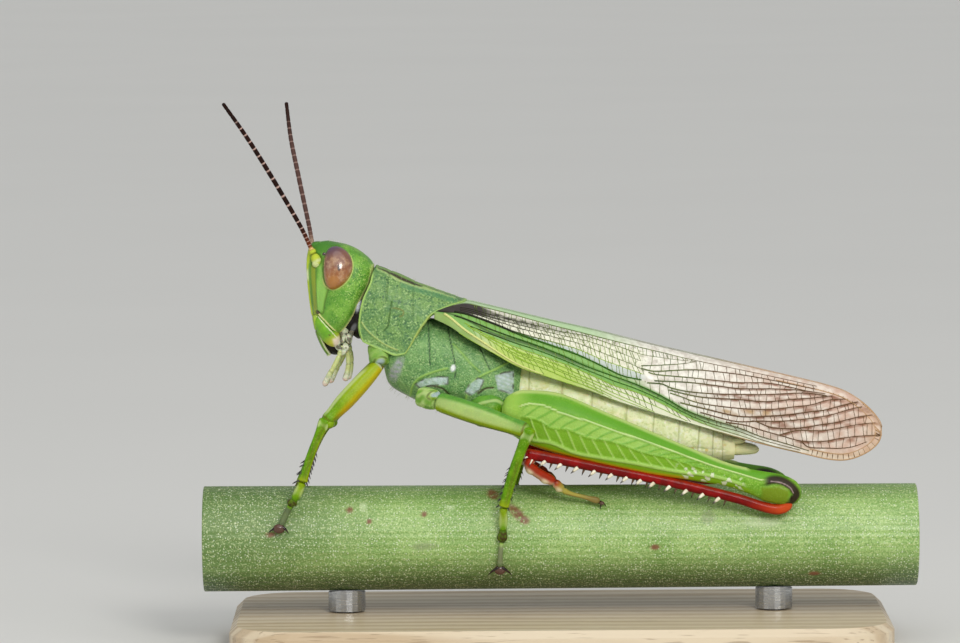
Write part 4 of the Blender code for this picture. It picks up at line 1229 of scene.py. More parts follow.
@dataclass
class Thorax:
    """The chest: side plates with sutures, leg sockets with soft rims, a hairy keel below."""

    rows: Line = (
        (-12.3, 22.1, -12.35, 20.6, 1.2), (-12.0, 22.9, -12.18, 19.25, 1.9), (-11.2, 23.1, -11.75, 18.3, 2.3),
        (-9.8, 23.1, -10.4, 17.5, 2.65), (-8.0, 22.9, -9.05, 16.86, 2.85), (-6.0, 22.2, -7.0, 16.18, 2.88),
        (-4.3, 21.3, -5.04, 15.56, 2.75), (-3.1, 20.6, -3.8, 15.08, 2.5), (-2.6, 20.2, -3.2, 15.3, 2.25),
    )
    sutures: tuple[Line, ...] = (
        ((-9.2, 23.85), (-9.14, 22.81), (-9.08, 21.76), (-9.02, 20.01)),
        ((-7.88, 23.16), (-7.68, 22.11), (-7.48, 21.06), (-7.28, 20.01), (-7.29, 19.1)),
        ((-6.22, 22.8), (-5.81, 21.75), (-5.33, 20.69), (-4.85, 19.64)),
        ((-6.21, 23.14), (-5.52, 22.44), (-4.35, 21.18), (-3.31, 20.47)),
    )
    ridge: Line = ((-7.41, 21.41), (-6.79, 20.78), (-6.17, 20.08), (-5.54, 19.51))
    rims: tuple[Line, ...] = (
        ((-10.43, 17.58), (-10.28, 18.42), (-9.93, 18.98), (-9.37, 19.32), (-8.6, 19.6), (-7.84, 19.8)),
        ((-6.53, 17.57), (-6.39, 18.26), (-5.97, 18.89), (-5.34, 19.31), (-4.5, 19.65), (-3.31, 20.2)),
    )
    soft_patches: tuple[Line, ...] = (
        ((-10.07, 18.63), (-9.37, 19.04), (-8.47, 19.18), (-7.77, 19.17), (-7.78, 18.68), (-8.68, 18.55),
         (-9.73, 18.28)),
        ((-6.6, 18.13), (-6.25, 18.68), (-5.69, 19.1), (-5.27, 18.96), (-5.55, 18.26), (-6.25, 17.84)),
        ((-4.5, 19.23), (-3.81, 19.44), (-3.18, 19.5), (-3.26, 17.89), (-4.3, 18.25)),
    )
    arcs: tuple[Line, ...] = (
        ((-9.73, 18.15), (-9.03, 18.49), (-8.2, 18.35), (-7.71, 17.92)),
        ((-5.69, 17.98), (-5.2, 18.33), (-4.65, 18.39)),
    )
    fore_membrane: Line = (
        (-11.95, 19), (-11.75, 19.75), (-11.25, 20.45), (-10.85, 20.5), (-11.05, 19.6), (-11.5, 18.75),
    )
    spiracle: tuple[float, float] = (-7.42, 19.8)
    olive_edge: Line = ((-12.25, 18.9), (-12.1, 18.52), (-11.49, 18.02), (-10.44, 17.46), (-9.4, 17.0))
    fuzz: Fuzz = Fuzz(
        ((-12.18, 19.25), (-11.75, 18.3), (-10.4, 17.5), (-9.05, 16.86), (-7.0, 16.18), (-5.04, 15.56)),
        1.5, 0.03, -0.12, -0.8, -1, 110, 31,
    )

    def trunk(self) -> Skin:
        """Rings with the plates' furrows sunk and the rims of the leg sockets raised."""
        skin = Skin(body_rings(smooth(self.rows, 210), 2.15, 300))
        x, y, z = skin.xyz
        y = np.abs(y)
        side = ramp(y, 0.8, 1.3)
        seam = most(*(stroke(x, z, line, 0.1) for line in self.sutures)) * side
        rim = most(*(stroke(x, z, line, 0.22) for line in self.rims)) * side
        ridge = stroke(x, z, self.ridge, 0.15) * side
        soft = [region(x, z, line, 0.14) * side for line in self.soft_patches]
        fore = region(x, z, self.fore_membrane, 0.4) * side
        edges = most(*(ramp(reach_to(x, z, [*line, line[0]]), 0.08, 0.02) for line in self.soft_patches))
        edges = edges * ramp(mottle(skin.points, 0.9, 16), 0.3, 0.6)
        arc = most(*(stroke(x, z, line, 0.2) for line in self.arcs), 0.8 * edges) * side
        pore = spot(x, z, self.spiracle, (0.22, 0.32), -12) * side
        stripes = 0.5 + 0.5 * np.sin((z + 0.4 * x) * 22)
        rough = side * (1 - rim) * (1 - ridge)
        skin.masks = {
            "rough": rough, "rimmed": most(rim, 0.9 * ridge), "seam": seam, "arc": arc, "white": pore,
            "olive": most(ramp(z, 17.4, 16.6) * ramp(x, -3.6, -5.0), stroke(x, z, self.olive_edge, 0.5)),
            "pale": most(soft[0], soft[1], soft[2] * (0.55 + 0.45 * stripes))
            * (0.6 + 0.4 * mottle(skin.points, 0.5, 23)),
            "dusky": most(fore * (0.4 + 0.6 * mottle(skin.points, 0.4, 19)), soft[2] * 0.25),
        }
        skin.push(
            0.09 * rim + 0.09 * ridge - 0.09 * seam - 0.06 * most(*soft) - 0.07 * arc + 0.03 * pore
            - 0.08 * fore + 0.03 * (mottle(skin.points, 0.6, 4) - 0.5) * rough
            + 0.05 * mottle(skin.points, 2.6, 8) * side
        )
        return skin

    def build(self) -> None:
        """Make the trunk and its hairs."""
        fit(self.trunk(), "thorax_trunk", FLANK_SHELL.material(), "body_green", "thorax")
        fit(self.fuzz.shape(), "thorax_hairs", HAIR.material(), "body_green")


@dataclass
class Abdomen:
    """Ringed abdomen, its blunt end cone and two small cerci."""

    rows: Line = (
        (-3.6, 20.3, -4.0, 15.1, 1.9), (-1.0, 20.05, -1.4, 14.2, 2.32), (2.4, 19.0, 2.0, 13.7, 2.3),
        (6.0, 17.75, 5.6, 13.25, 2.05), (9.4, 16.4, 9.1, 12.95, 1.68), (11.4, 15.2, 11.3, 12.9, 1.25),
        (12.25, 14.7, 12.2, 13.05, 0.95),
    )
    seams: Numbers = (-2.2, 0.1, 2.2, 4.6, 6.5, 8.3, 9.7, 10.7, 11.4)
    amber_spots: Line = (
        (4.15, 14.75), (6.05, 14.35), (7.85, 14.1), (9.25, 13.95), (10.25, 13.8), (11.55, 14.1),
    )
    crease: Line = ((-2.0, 16.2), (3.0, 15.0), (8.0, 14.1), (11.5, 13.75))
    overlap: float = 0.05
    end_hairs: int = 70
    end_rows: Line = (  # x, y, z, half height, half width
        (11.6, 0, 13.8, 0.6, 0.7), (12.5, 0, 13.76, 0.5, 0.58), (13.3, 0, 13.7, 0.4, 0.46),
        (14.0, 0, 13.62, 0.24, 0.28),
    )
    cercus: Line = (
        (11.8, 0.62, 14.3, 0.22), (12.2, 0.78, 14.34, 0.22), (12.6, 0.92, 14.36, 0.17),
        (13.0, 1.02, 14.36, 0.06),
    )

    def belly(self) -> Skin:
        """Rings in which each segment swells towards its rear edge and then steps in."""
        rows = smooth(self.rows, 320)
        skin = Skin(body_rings(rows, 2.15, 168))
        station = (rows[:, 0] + rows[:, 2])[:, None] / 2
        behind = np.searchsorted(self.seams, station)
        start, stop = np.array((-4.6, *self.seams))[behind], np.array((*self.seams, 12.6))[behind]
        run = (station - start) / (stop - start)
        x, y, z = skin.xyz
        above = z - (rows[:, 1] + rows[:, 3])[:, None] / 2
        fold = ramp(np.abs(station[..., None] - self.seams).min(axis=-1), 0.07, 0.01)
        shine = most(ramp(run, 0.25, 0.05), 0.5 * mottle(skin.points, 1.3, 6) * ramp(run, 0.5, 0.9))
        freckles = most(*(spot(x, z, place, (0.16, 0.13)) for place in self.amber_spots))
        skin.masks = {
            "fold": fold, "clear": shine * ramp(above, 0.6, -1.0), "back": ramp(above, 0.9, 1.7),
            "amber": 0.35 * ramp(mottle(skin.points, 1.1, 31), 0.55, 0.85) * ramp(x, 9.0, -2.0)
            + freckles * ramp(np.abs(y), 0.4, 0.8),
            "rosy": ramp(x, 9.5, 12.0) * 0.5, "tip": ramp(x, 11.2, 12.2),
        }
        swell = self.overlap * ramp(run, 0, 0.85) * ramp(run, 1.0, 0.93)
        crease = stroke(x, z, self.crease, 0.16)
        skin.push(swell - 0.03 * fold - 0.03 * crease + 0.03 * mottle(skin.points, 0.8, 9))
        return skin

    def end_cone(self) -> Skin:
        """The blunt last plate, rounded at its end, with a furrow round its root."""
        skin, share = limb(self.end_rows, 90, 72, round_start=0.03, round_end=0.16)
        x, _, z = skin.xyz
        ring = bell(share, 0.24, 0.03)
        skin.masks = {
            "tip": np.ones((1, 1)), "fold": ring, "clear": 0.4 * mottle(skin.points, 0.5, 2),
            "sooty": spot(x, z, (12.3, 14.28), (0.28, 0.1)) * 0.8
            + spot(x, z, (12.5, 13.26), (0.4, 0.12)) * 0.9,
        }
        skin.push(-0.05 * ring)
        return skin

    def hairs(self) -> Shape:
        """Short hairs round the end cone."""
        draw, count = np.random.default_rng(41), self.end_hairs
        turn, x = draw.uniform(0, TURN, count), draw.uniform(11.9, 13.75, count)
        size = read(((11.6, 0.62), (12.5, 0.5), (13.3, 0.4), (13.8, 0.26), (14.0, 0.1)), x)
        root = np.column_stack((x, np.sin(turn) * size, 13.74 + np.cos(turn) * size * 0.9))
        heading = np.column_stack((np.full(count, 0.6), np.sin(turn), np.cos(turn)))
        return spikes(root, heading, draw.uniform(0.14, 0.3, count), 0.009, 3)

    def build(self) -> None:
        """Make the abdomen, its end and its hairs."""
        skin = BELLY_SKIN.material()
        fit(self.belly(), "belly_rings", skin, "abdomen_pale", "abdomen")
        fit(self.end_cone(), "end_cone", skin, "abdomen_pale", "abdomen_tip")
        horn, _ = limb(self.cercus, 40, 24)
        horn.masks = {"tip": np.ones((1, 1)), "sooty": 0.3 * ramp(horn.xyz[0], 12.6, 13)}
        for side in Side:
            fit(side.turn(horn), f"cercus_horn_{side.word}", skin, "abdomen_pale", f"cercus_{side.word}")
        fit(self.hairs(), "end_hairs", HAIR.material(), "abdomen_pale")


# ------------------------------------------------------------------ wings
WING_SKIN = Cuticle(
    "wing_skin", (236, 232, 220), (210, 202, 190), patch=0.45, grain=(236, 238, 216), grain_share=0.9,
    grain_mask="net", dark=(80, 88, 40), roughness=0.46, coat=0.04, gloss=0.2,
    layers={
        "green": (100, 164, 44, 0.88), "lime": (172, 202, 66, 0.85), "cream": (226, 228, 196, 0.75),
        "steps": (176, 190, 184, 0.8), "mint": (176, 212, 156, 0.85), "haze": (196, 156, 134, 0.8),
        "cloud": (128, 78, 52, 0.92), "ochre": (176, 140, 84, 0.8), "tan": (196, 164, 124, 0.5),
        "dark": (44, 60, 30, 0.85), "soot": (30, 16, 22, 0.95), "white": (240, 240, 232, 0.9),
    },
)
VEIN_HORN = Cuticle(
    "vein_horn", (116, 128, 74), (84, 98, 56), patch=0.5, roughness=0.55, coat=0, depth=0.01, gloss=0.15,
    layers={
        "deep": (46, 100, 12, 0.95), "lime": (150, 186, 60, 0.9), "cream": (216, 220, 140, 0.95),
        "brown": (102, 66, 44, 0.92), "tan": (184, 148, 112, 0.95), "night": (34, 26, 26, 0.9),
    },
)
FOLDED_FILM = Cuticle(
    "folded_film", (206, 210, 190), (176, 186, 160), 0.4, roughness=0.35, coat=0.2, depth=0.04,
)


class Vein(Enum):
    """Kinds of vein: the mask that colours each."""

    PLAIN = "plain"
    DEEP = "deep"
    LIME = "lime"
    CREAM = "cream"


@dataclass
class Tegmina:
    """Fore wings: a leathery roof over the body, netted with raised veins.

    Places on a wing are (x, share down), share 0 at the upper edge and 1 at the lower.
    """

    rows: Line = (  # x, upper z, lower z, half width
        (-8.7, 24.1, 23.1, 2.4), (-7.6, 24.15, 22.6, 2.95), (-6.45, 24.2, 21.82, 3.05),
        (-4.7, 23.8, 20.8, 3.08), (-2.78, 23.33, 19.72, 3.02), (-.5, 22.77, 18.92, 2.9),
        (2, 22.2, 18.08, 2.8), (4, 21.7, 17.28, 2.68), (6.7, 21, 16.38, 2.48), (10.7, 20.05, 15.12, 2.12),
        (14, 19.26, 14.15, 1.82), (16.9, 18.56, 13.42, 1.62), (18.7, 18.1, 12.98, 1.45),
        (20.1, 17.62, 12.88, 1.25), (22.3, 16.6, 13.1, .85),
    )
    root: float = -8.7
    reaches: Mapping[Side, float] = field(default_factory=lambda: {Side.LEFT: 22.5, Side.RIGHT: 22.6})
    tip_length: float = 3.0
    tip_power: float = 2.3
    parting: float = 0.07
    wall: float = 0.06
    border: float = 0.42
    grid: tuple[int, int] = (330, 72)  # points along and down
    vein_steps: int = 84
    vein_taper: float = 0.45
    veins: Mapping[str, tuple[Vein, float, Line]] = field(default_factory=lambda: {  # kind, radius, knots
        "strip": (Vein.PLAIN, .038, ((-6.2, .02), (-3.8, .02), (-.9, .04), (2.7, .06), (7.2, .055),
            (9, .06), (14, .04), (18, .03))),
        "net1": (Vein.PLAIN, .028, ((-6.9, .13), (-4.6, .13), (-2, .11), (.1, .11), (1.8, .09), (3.2, .11),
            (4.5, .13), (5.7, .15), (7, .13), (8.1, .11), (9.6, .07))),
        "net2": (Vein.PLAIN, .028, ((-6.9, .21), (-4.6, .23), (-2, .23), (.1, .23), (1.4, .24), (2.7, .28),
            (4, .31), (5.4, .35), (5.9, .39))),
        "ladder": (Vein.LIME, .036, ((-7.1, .27), (-5.2, .31), (-2, .32), (0, .32), (1.4, .34), (2.7, .39),
            (4, .41), (5.4, .43), (5.8, .44))),
        "radius": (Vein.DEEP, .085, ((-7.3, .28), (-4.8, .3), (-2.9, .34), (-.9, .38), (1, .42), (3, .5),
            (4.4, .55), (5.7, .53))),
        "v2a": (Vein.DEEP, .05, ((-7.3, .42), (-4.8, .45), (-2.4, .44), (0, .5), (1.8, .58), (3.6, .6),
            (5.3, .62), (7.1, .69), (8.9, .8), (10.7, .83), (12.5, .84), (14, .88), (15.4, .89),
            (16.8, .91), (17.4, .92))),
        "v2b": (Vein.DEEP, .04, ((-6.2, .58), (-2.4, .53), (0, .58), (1.8, .64), (3.6, .67), (5.3, .69),
            (7.1, .75), (8.9, .85), (10.7, .89), (12.5, .89), (14, .92), (15.4, .93), (16.8, .94))),
        "v2c": (Vein.LIME, .036, ((-5.5, .62), (-2.4, .61), (0, .64), (3.6, .74), (5.3, .74), (7.1, .8),
            (8.9, .89), (10.7, .93), (12.5, .94), (14, .96), (15.4, .97), (16.8, .97))),
        "net3": (Vein.PLAIN, .026, ((-6.9, .17), (-4.4, .18), (-2.2, .17), (.2, .17), (2, .165), (3.4, .19),
            (4.6, .22), (5.6, .25))),
        "cos1": (Vein.LIME, .04, ((-5.4, .66), (-1.9, .68), (0, .7), (1.8, .77), (3.6, .8), (5.3, .83),
            (7.1, .88), (8.9, .95))),
        "cos2": (Vein.LIME, .036, ((-3.7, .73), (-1.4, .76), (0, .8), (1.8, .86), (3.6, .91), (5.7, .95),
            (6.4, .97))),
        "cos3": (Vein.LIME, .036, ((-3.1, .81), (-1, .84), (.7, .9), (2.5, .92), (3.6, .95))),
        "front": (Vein.CREAM, .09, ((-8, .44), (-6.8, .72), (-5.3, .83), (-4.3, .88), (-3.4, .91),
            (-2.4, .93), (-1.2, .95))),
        "cos4": (Vein.LIME, .036, ((-6.4, .6), (-4.9, .7), (-3.4, .77), (-1.6, .83), (0, .87), (1.8, .92),
            (3, .95))),
        "cos5": (Vein.LIME, .036, ((-6.6, .55), (-4.9, .63), (-3, .69), (-1, .74), (.8, .79), (3.6, .86),
            (5.2, .9), (6.6, .96))),
        "f1": (Vein.PLAIN, .038, ((5.7, .32), (7.2, .23), (8.5, .15), (9.6, .07))),
        "f2": (Vein.PLAIN, .045, ((5.7, .36), (6.6, .35), (8.1, .26), (9.4, .19), (10.7, .15), (12.5, .11),
            (14.1, .09), (16.1, .08), (17.9, .07))),
        "f3": (Vein.PLAIN, .045, ((6.2, .39), (6.8, .39), (8.9, .32), (10.7, .27), (12.5, .22), (14.4, .14),
            (15.8, .12), (17.2, .12), (18.6, .1))),
        "f4": (Vein.PLAIN, .045, ((6.6, .49), (8.9, .39), (10.7, .34), (12.5, .3), (14.8, .2), (16.5, .14),
            (17.2, .13))),
        "f5": (Vein.PLAIN, .05, ((6.1, .55), (7.1, .51), (7.8, .53), (8.9, .52), (10.7, .46), (12.5, .38),
            (14.7, .28), (16.6, .18), (17.6, .14), (18.7, .12))),
        "f6": (Vein.PLAIN, .045, ((7.6, .57), (9.8, .55), (12.5, .45), (14.4, .39), (16.2, .28), (17.6, .2),
            (19.1, .1))),
        "f7": (Vein.PLAIN, .045, ((7.7, .61), (8.5, .62), (9.8, .64), (12.5, .57), (14.7, .48), (16.4, .37),
            (17.6, .29), (18.7, .18), (20, .09))),
        "f8": (Vein.PLAIN, .05, ((8.4, .71), (10.2, .7), (12.5, .68), (14.7, .57), (16.2, .48), (17.6, .38),
            (18.5, .32), (19.8, .19), (20.9, .06))),
        "f9": (Vein.PLAIN, .045, ((9.8, .77), (11.6, .77), (12.6, .75), (14, .67), (15, .63), (16.4, .55),
            (18, .44), (19.4, .32), (21.2, .11))),
        "f10": (Vein.PLAIN, .045, ((13.3, .71), (13.7, .69), (14.7, .72), (15.8, .69), (16.9, .63),
            (18.2, .53), (19.7, .42), (21.9, .19))),
        "f11": (Vein.PLAIN, .045, ((11.6, .81), (12.9, .78), (14, .79), (15.3, .8), (16.9, .81),
            (18.5, .74), (19.7, .66), (22.2, .55))),
        "f12": (Vein.PLAIN, .038, ((15.3, .8), (16.6, .68), (18.2, .61), (19.7, .51), (22.1, .32))),
        "f13": (Vein.PLAIN, .045, ((16.9, .82), (17.4, .87), (18.6, .83), (20.4, .78), (21.5, .69))),
    })
    rungs: tuple[tuple[str, str, float, float, float, float], ...] = (  # pair, from x, to x, step, slant
        ("strip", "net1", -6, 9.2, .3, .05), ("net1", "net3", -6, 5.4, .26, .1),
        ("net3", "net2", -6, 5.4, .27, .1), ("v2c", "cos5", -3.4, 6.2, .42, .3),
        ("cos5", "cos4", -4.5, 2.8, .42, .3), ("cos4", "front", -6, -1.4, .4, .3),
        ("net2", "ladder", -6, 5.7, .28, .1), ("ladder", "radius", -4.9, 5.7, .25, .06),
        ("radius", "v2a", -6.8, 5.6, .42, .12), ("v2a", "v2b", -5.6, 12, .62, .1),
        ("v2c", "cos1", -4, 8.8, .5, .3), ("strip", "f1", 6.6, 9.3, .42, 0),
        ("strip", "f2", 9.7, 17.6, .44, 0), ("f1", "f2", 5.9, 9.4, .44, 0),
        ("f2", "f3", 6.4, 17.7, .46, .02), ("f3", "f4", 6.9, 17, .46, .02), ("f4", "f5", 6.8, 17, .46, .02),
        ("f5", "f6", 7.7, 18.5, .46, .02), ("f6", "f7", 7.9, 18.9, .46, .02),
        ("f7", "f8", 8.5, 19.8, .46, .02), ("f8", "f9", 9.9, 20.7, .44, .02),
        ("f9", "f10", 13.4, 21, .44, .02), ("v2a", "f8", 7.3, 9.6, .4, 0), ("v2a", "f9", 9.9, 13, .42, 0),
        ("f10", "f12", 15.5, 21.6, .42, .02), ("f12", "f11", 15.8, 22, .42, .02),
        ("f10", "f11", 13.4, 15.3, .42, 0), ("v2a", "f11", 11.9, 16.8, .42, 0),
        ("f11", "f13", 17.3, 21.4, .42, 0), ("radius", "f5", 4.6, 5.9, .4, 0),
        ("f5", "v2a", 6.3, 7.6, .34, 0), ("v2b", "v2c", -4.8, 10, .8, .15),
    )
    soot: Line = (
        (-8.2, .24), (-7.3, .18), (-6.2, .13), (-4.1, .13), (-2.7, .12), (-.9, .1), (1.2, .09),
    )
    dark: Line = (
        (-7.9, .36), (-7.3, .39), (-4.8, .52), (-2.4, .47), (.5, .55), (3.5, .635),
    )
    clouds: Line = (  # x, share, half length, half share, lean
        (13.1, .265, 1.1, .035, -1), (13, .42, 1.2, .04, -1), (17, .385, 1.3, .05, -3.2),
        (15.8, .65, 1, .05, -3), (19.3, .155, .9, .06, -5), (21.2, .17, .8, .05, -4),
        (20.6, .44, 1.5, .05, -4.5), (18.4, .62, 1.5, .055, -4), (20.9, .65, 1.3, .06, -3),
        (11.3, .5, .9, .035, -2), (15.6, .3, .9, .04, -3),
    )
    ochres: Line = (
        (14, .56, 1.6, .05, -2.5), (11.9, .66, 1, .04, 0), (9.6, .6, .9, .04, 1),
    )
    streaks: tuple[tuple[str, float, float, float], ...] = (  # vein, from x, to x, half share
        ("f3", 11, 17.5, .018), ("f4", 10.5, 17, .02), ("f5", 11.5, 18.5, .028), ("f6", 12, 19, .03),
        ("f7", 13.5, 19.6, .032), ("f8", 14, 20.6, .034), ("f9", 14.5, 21, .034), ("f10", 15, 21.6, .034),
        ("f12", 15.5, 21.9, .034), ("f11", 17, 21.9, .032),
    )
    white: Line = ((6.16, 2), (6.5, 2.02), (6.5, 2.24), (6.14, 2.2))

    def _at(self, name: str, x: Array) -> Array:
        """Share down of a vein at x."""
        return read(self.veins[name][2], x)

    def _stretch(self, reach: float) -> float:
        """This wing's length against the left one's."""
        return (reach - self.root) / (self.reaches[Side.LEFT] - self.root)

    def _raw(self, x: Array) -> tuple[Array, ...]:
        """Upper height, lower height and half width before the tip is rounded."""
        fine = smooth(self.rows, 240)
        return tuple(np.interp(x, fine[:, 0], fine[:, k]) for k in (1, 2, 3))

    def _outline(self, x: Array, reach: float) -> tuple[Array, Array, Array]:
        """Upper height, lower height and half width with the tip rounded off at `reach`."""
        upper, lower, width = self._raw(x)
        into = np.clip((x - (reach - self.tip_length)) / self.tip_length, 0, 1)
        close = (1 - into**self.tip_power) ** (1 / self.tip_power)
        middle = (upper + lower) / 2 + 0.1
        half = np.maximum((upper - lower) / 2 * close, 0.3)
        return middle + half, middle - half, np.maximum(width, 0.66)

    def _lay(self, x: Array, share: Array, reach: float) -> tuple[Array, Array]:
        """Points and outward directions on a wing for places on its rounded outline.

        The section is a quarter arch: with t from 0 to 90 degrees the height falls as
        1 - cos t, and the distance from the middle grows as sin t to the power 0.8.
        """
        upper, lower, width = self._outline(x, reach)
        down = np.clip(share, 0, 1)
        sine = np.sqrt(1 - (1 - down) ** 2)
        y = self.parting + (width - self.parting) * sine**0.8
        rise = width * 0.8 * (1 - down) * np.maximum(sine, 0.12) ** -0.2
        away = unit(np.stack((0 * y, (upper - lower) * sine, rise), axis=-1))
        return np.stack((x, y, upper - (upper - lower) * down), axis=-1), away

    def _place(self, x: Array, share: Array, reach: float) -> tuple[Array, Array]:
        """The same for places on the left wing before rounding, stretched to this wing's length.

        Places beyond the rounded outline meet its edge.
        """
        x = np.minimum(self.root + (x - self.root) * self._stretch(reach), reach - 0.05)
        upper, lower, _ = self._raw(x)
        top, foot, _ = self._outline(x, reach)
        height = upper - (upper - lower) * share
        return self._lay(x, np.clip((top - height) / (top - foot), 0.004, 0.992), reach)

    def sheet(self, reach: float) -> Skin:
        """The wing's skin, softly pleated along its veins, with a mask for each colour zone."""
        run, fall = (np.linspace(0, 1, count) for count in self.grid)
        x = self.root + (reach - self.root) * (0.72 * run + 0.28 * np.sin(run * TURN / 4))
        down = 0.5 - 0.5 * np.cos(np.linspace(0, TURN / 4, self.grid[1])) + 0.5 * fall
        xx, dd = np.meshgrid(x, down, indexing="ij")
        points, _ = self._lay(xx, dd, reach)
        upper, lower, _ = self._raw(xx)
        share = (upper - points[..., 2]) / (upper - lower)
        skin = Skin(points, ring=False)
        self._colour(skin, self.root + (xx - self.root) / self._stretch(reach), share, dd)
        ripple = sum(
            ramp(xx, self.veins[name][2][0][0] - 0.5, self.veins[name][2][0][0] + 0.5)
            * bell(share, self._at(name, xx), 0.03)
            for name in ("f2", "f4", "f6", "f8", "f10", "v2a", "radius")
        )
        skin.push(-0.02 * ripple - 0.02 * skin.masks["net"] * mottle(points, 0.5, 12))
        return skin

    def _colour(self, skin: Skin, x: Array, share: Array, down: Array) -> None:
        """Name the zones of one wing from places along it and the share down."""
        strip, radius, ladder, v2a, v2c, edge = (
            self._at(name, x) for name in ("strip", "radius", "ladder", "v2a", "v2c", "front")
        )
        front = ramp(x, 6.4, 5.4)
        patchy = mottle(skin.points, 0.9, 14)

        def blots(rows: Line) -> Array:
            """Long soft clouds; lean turns them, in share for each ten millimetres."""
            return patchy * most(*(
                ramp(np.hypot((x - cx) / length, (share - cs - lean * 0.01 * (x - cx)) / width), 1.1, 0.35)
                for cx, cs, length, width, lean in rows
            ))

        below = ramp(share - v2c, -0.005, 0.03) * ramp(x, -6.5, -4)
        root = ramp(x, -1.2, -2) * ramp(share - edge, -0.02, 0.02)
        fan = ramp(x, 5.6, 6.6) * (1 - ramp(share - v2a, -0.02, 0.01))
        trails = most(*(
            ramp(np.abs(share - self._at(name, x) - 0.012), width, 0.3 * width) * between(x, start, stop, 1.2)
            for name, start, stop, width in self.streaks
        ))
        skin.masks = {
            "net": front * between(share, 0.07, 0.36, 0.03) * ramp(x, -5.8, -4.6)
            + 0.35 * fan * ramp(x, 9, 6.5),
            "green": (1 - below) * most(
                ramp(share - radius, -0.01, 0.02) * ramp(x, 7, 4),
                ramp(share - v2a, -0.05, 0) * ramp(x, 15.5, 8),
            ),
            "lime": below * ramp(x, 6, 0),
            "cream": most(below * ramp(x, 1, 6), front * ramp(share, strip + 0.02, strip + 0.06)
                          * (1 - ramp(share - ladder, -0.02, 0.02)) * 0.6),
            "steps": front * ramp(share - ladder, 0, 0.02) * ramp(share - radius, 0, -0.02)
            * ramp(x, -4.5, -2.5),
            "mint": ramp(share, strip + 0.012, strip - 0.004) * ramp(x, 7, 1),
            "haze": fan * ramp(x, 9, 17) * (0.3 + 0.5 * patchy) + 0.3 * ramp(x, 17.5, 21),
            "cloud": most(blots(self.clouds) * 0.8, trails * (0.35 + 0.65 * mottle(skin.points, 0.7, 15))),
            "ochre": blots(self.ochres),
            "tan": ramp(x, 15, 18.5) * ramp(down, 0.86, 0.95) + ramp(x, 20.8, 22) * 0.6 + 0.4 * root,
            "dark": most(
                0.85 * ramp(np.abs(share - read(self.dark, x)), 0.05, 0.015) * ramp(x, 3.6, 0.5)
                * ramp(x, -8.3, -7.6),
                0.8 * ramp(np.abs(share - v2a - 0.02), 0.022, 0.008) * ramp(x, 3, 5.5) * ramp(x, 15, 11),
            ),
            "soot": ramp(np.abs(share - read(self.soot, x)) - 0.09 * ramp(x, -3.4, -7), 0.07, 0.03)
            * ramp(x, 4.5, -4.5) * (0.45 + 0.55 * most(mottle(skin.points, 0.45, 18), ramp(x, -4, -5.5))),
            "white": region(x, share * 4.6, self.white, 0.1),
        }

    def _vein_net(self, reach: float) -> Shape:
        """Length veins as tapering bars, cross-veins as short bars between two of them."""
        bars = []
        for kind, radius, knots in self.veins.values():
            x, share = smooth(knots, self.vein_steps).T
            points, away = self._place(x, share, reach)
            size = radius * (1 - self.vein_taper * np.linspace(0, 1, len(x)))
            deep = ramp(x, -0.5, -6) * (kind is Vein.DEEP) * 0.9
            bars.append(tubes((points + away * (size * 0.35)[:, None])[None], size, 7, {
                "brown": ramp(x, 7.5, 11.5) * (0.9 if kind is Vein.PLAIN else 0.55),
                kind.value: 1 - 0.8 * ramp(x, 9, 14), "night": most(deep, self._dusky(x, share)),
            }))
        draw = np.random.default_rng(17)
        f = np.linspace(0, 1, 4)
        for first, second, low, high, step, slant in self.rungs:
            count = max(2, int((high - low) / step))
            x = (np.linspace(low, high, count) + draw.uniform(-0.36, 0.36, count) * step)[:, None]
            skew = (slant + draw.uniform(-0.14, 0.14, count))[:, None]
            upper, lower = self._at(first, x), self._at(second, x + skew)
            kept = np.abs(lower - upper)[:, 0] > 0.012
            along, share = (x + skew * f)[kept], (upper + (lower - upper) * f)[kept]
            points, away = self._place(along, share, reach)
            bars.append(tubes(points + away * 0.012, 0.018, 4, {
                "brown": ramp(along, 8, 11.5) * 0.85, "lime": ramp(along, 8, 3) * 0.6,
                "night": self._dusky(along, share) * 0.8,
            }))
        return joined(bars)

    def _dusky(self, x: Array, share: Array) -> Array:
        """Where the netted field behind the shield has dark veins: near its root and high up."""
        return ramp(x, 3.5, -4) * between(share, 0.08, 0.33, 0.02)

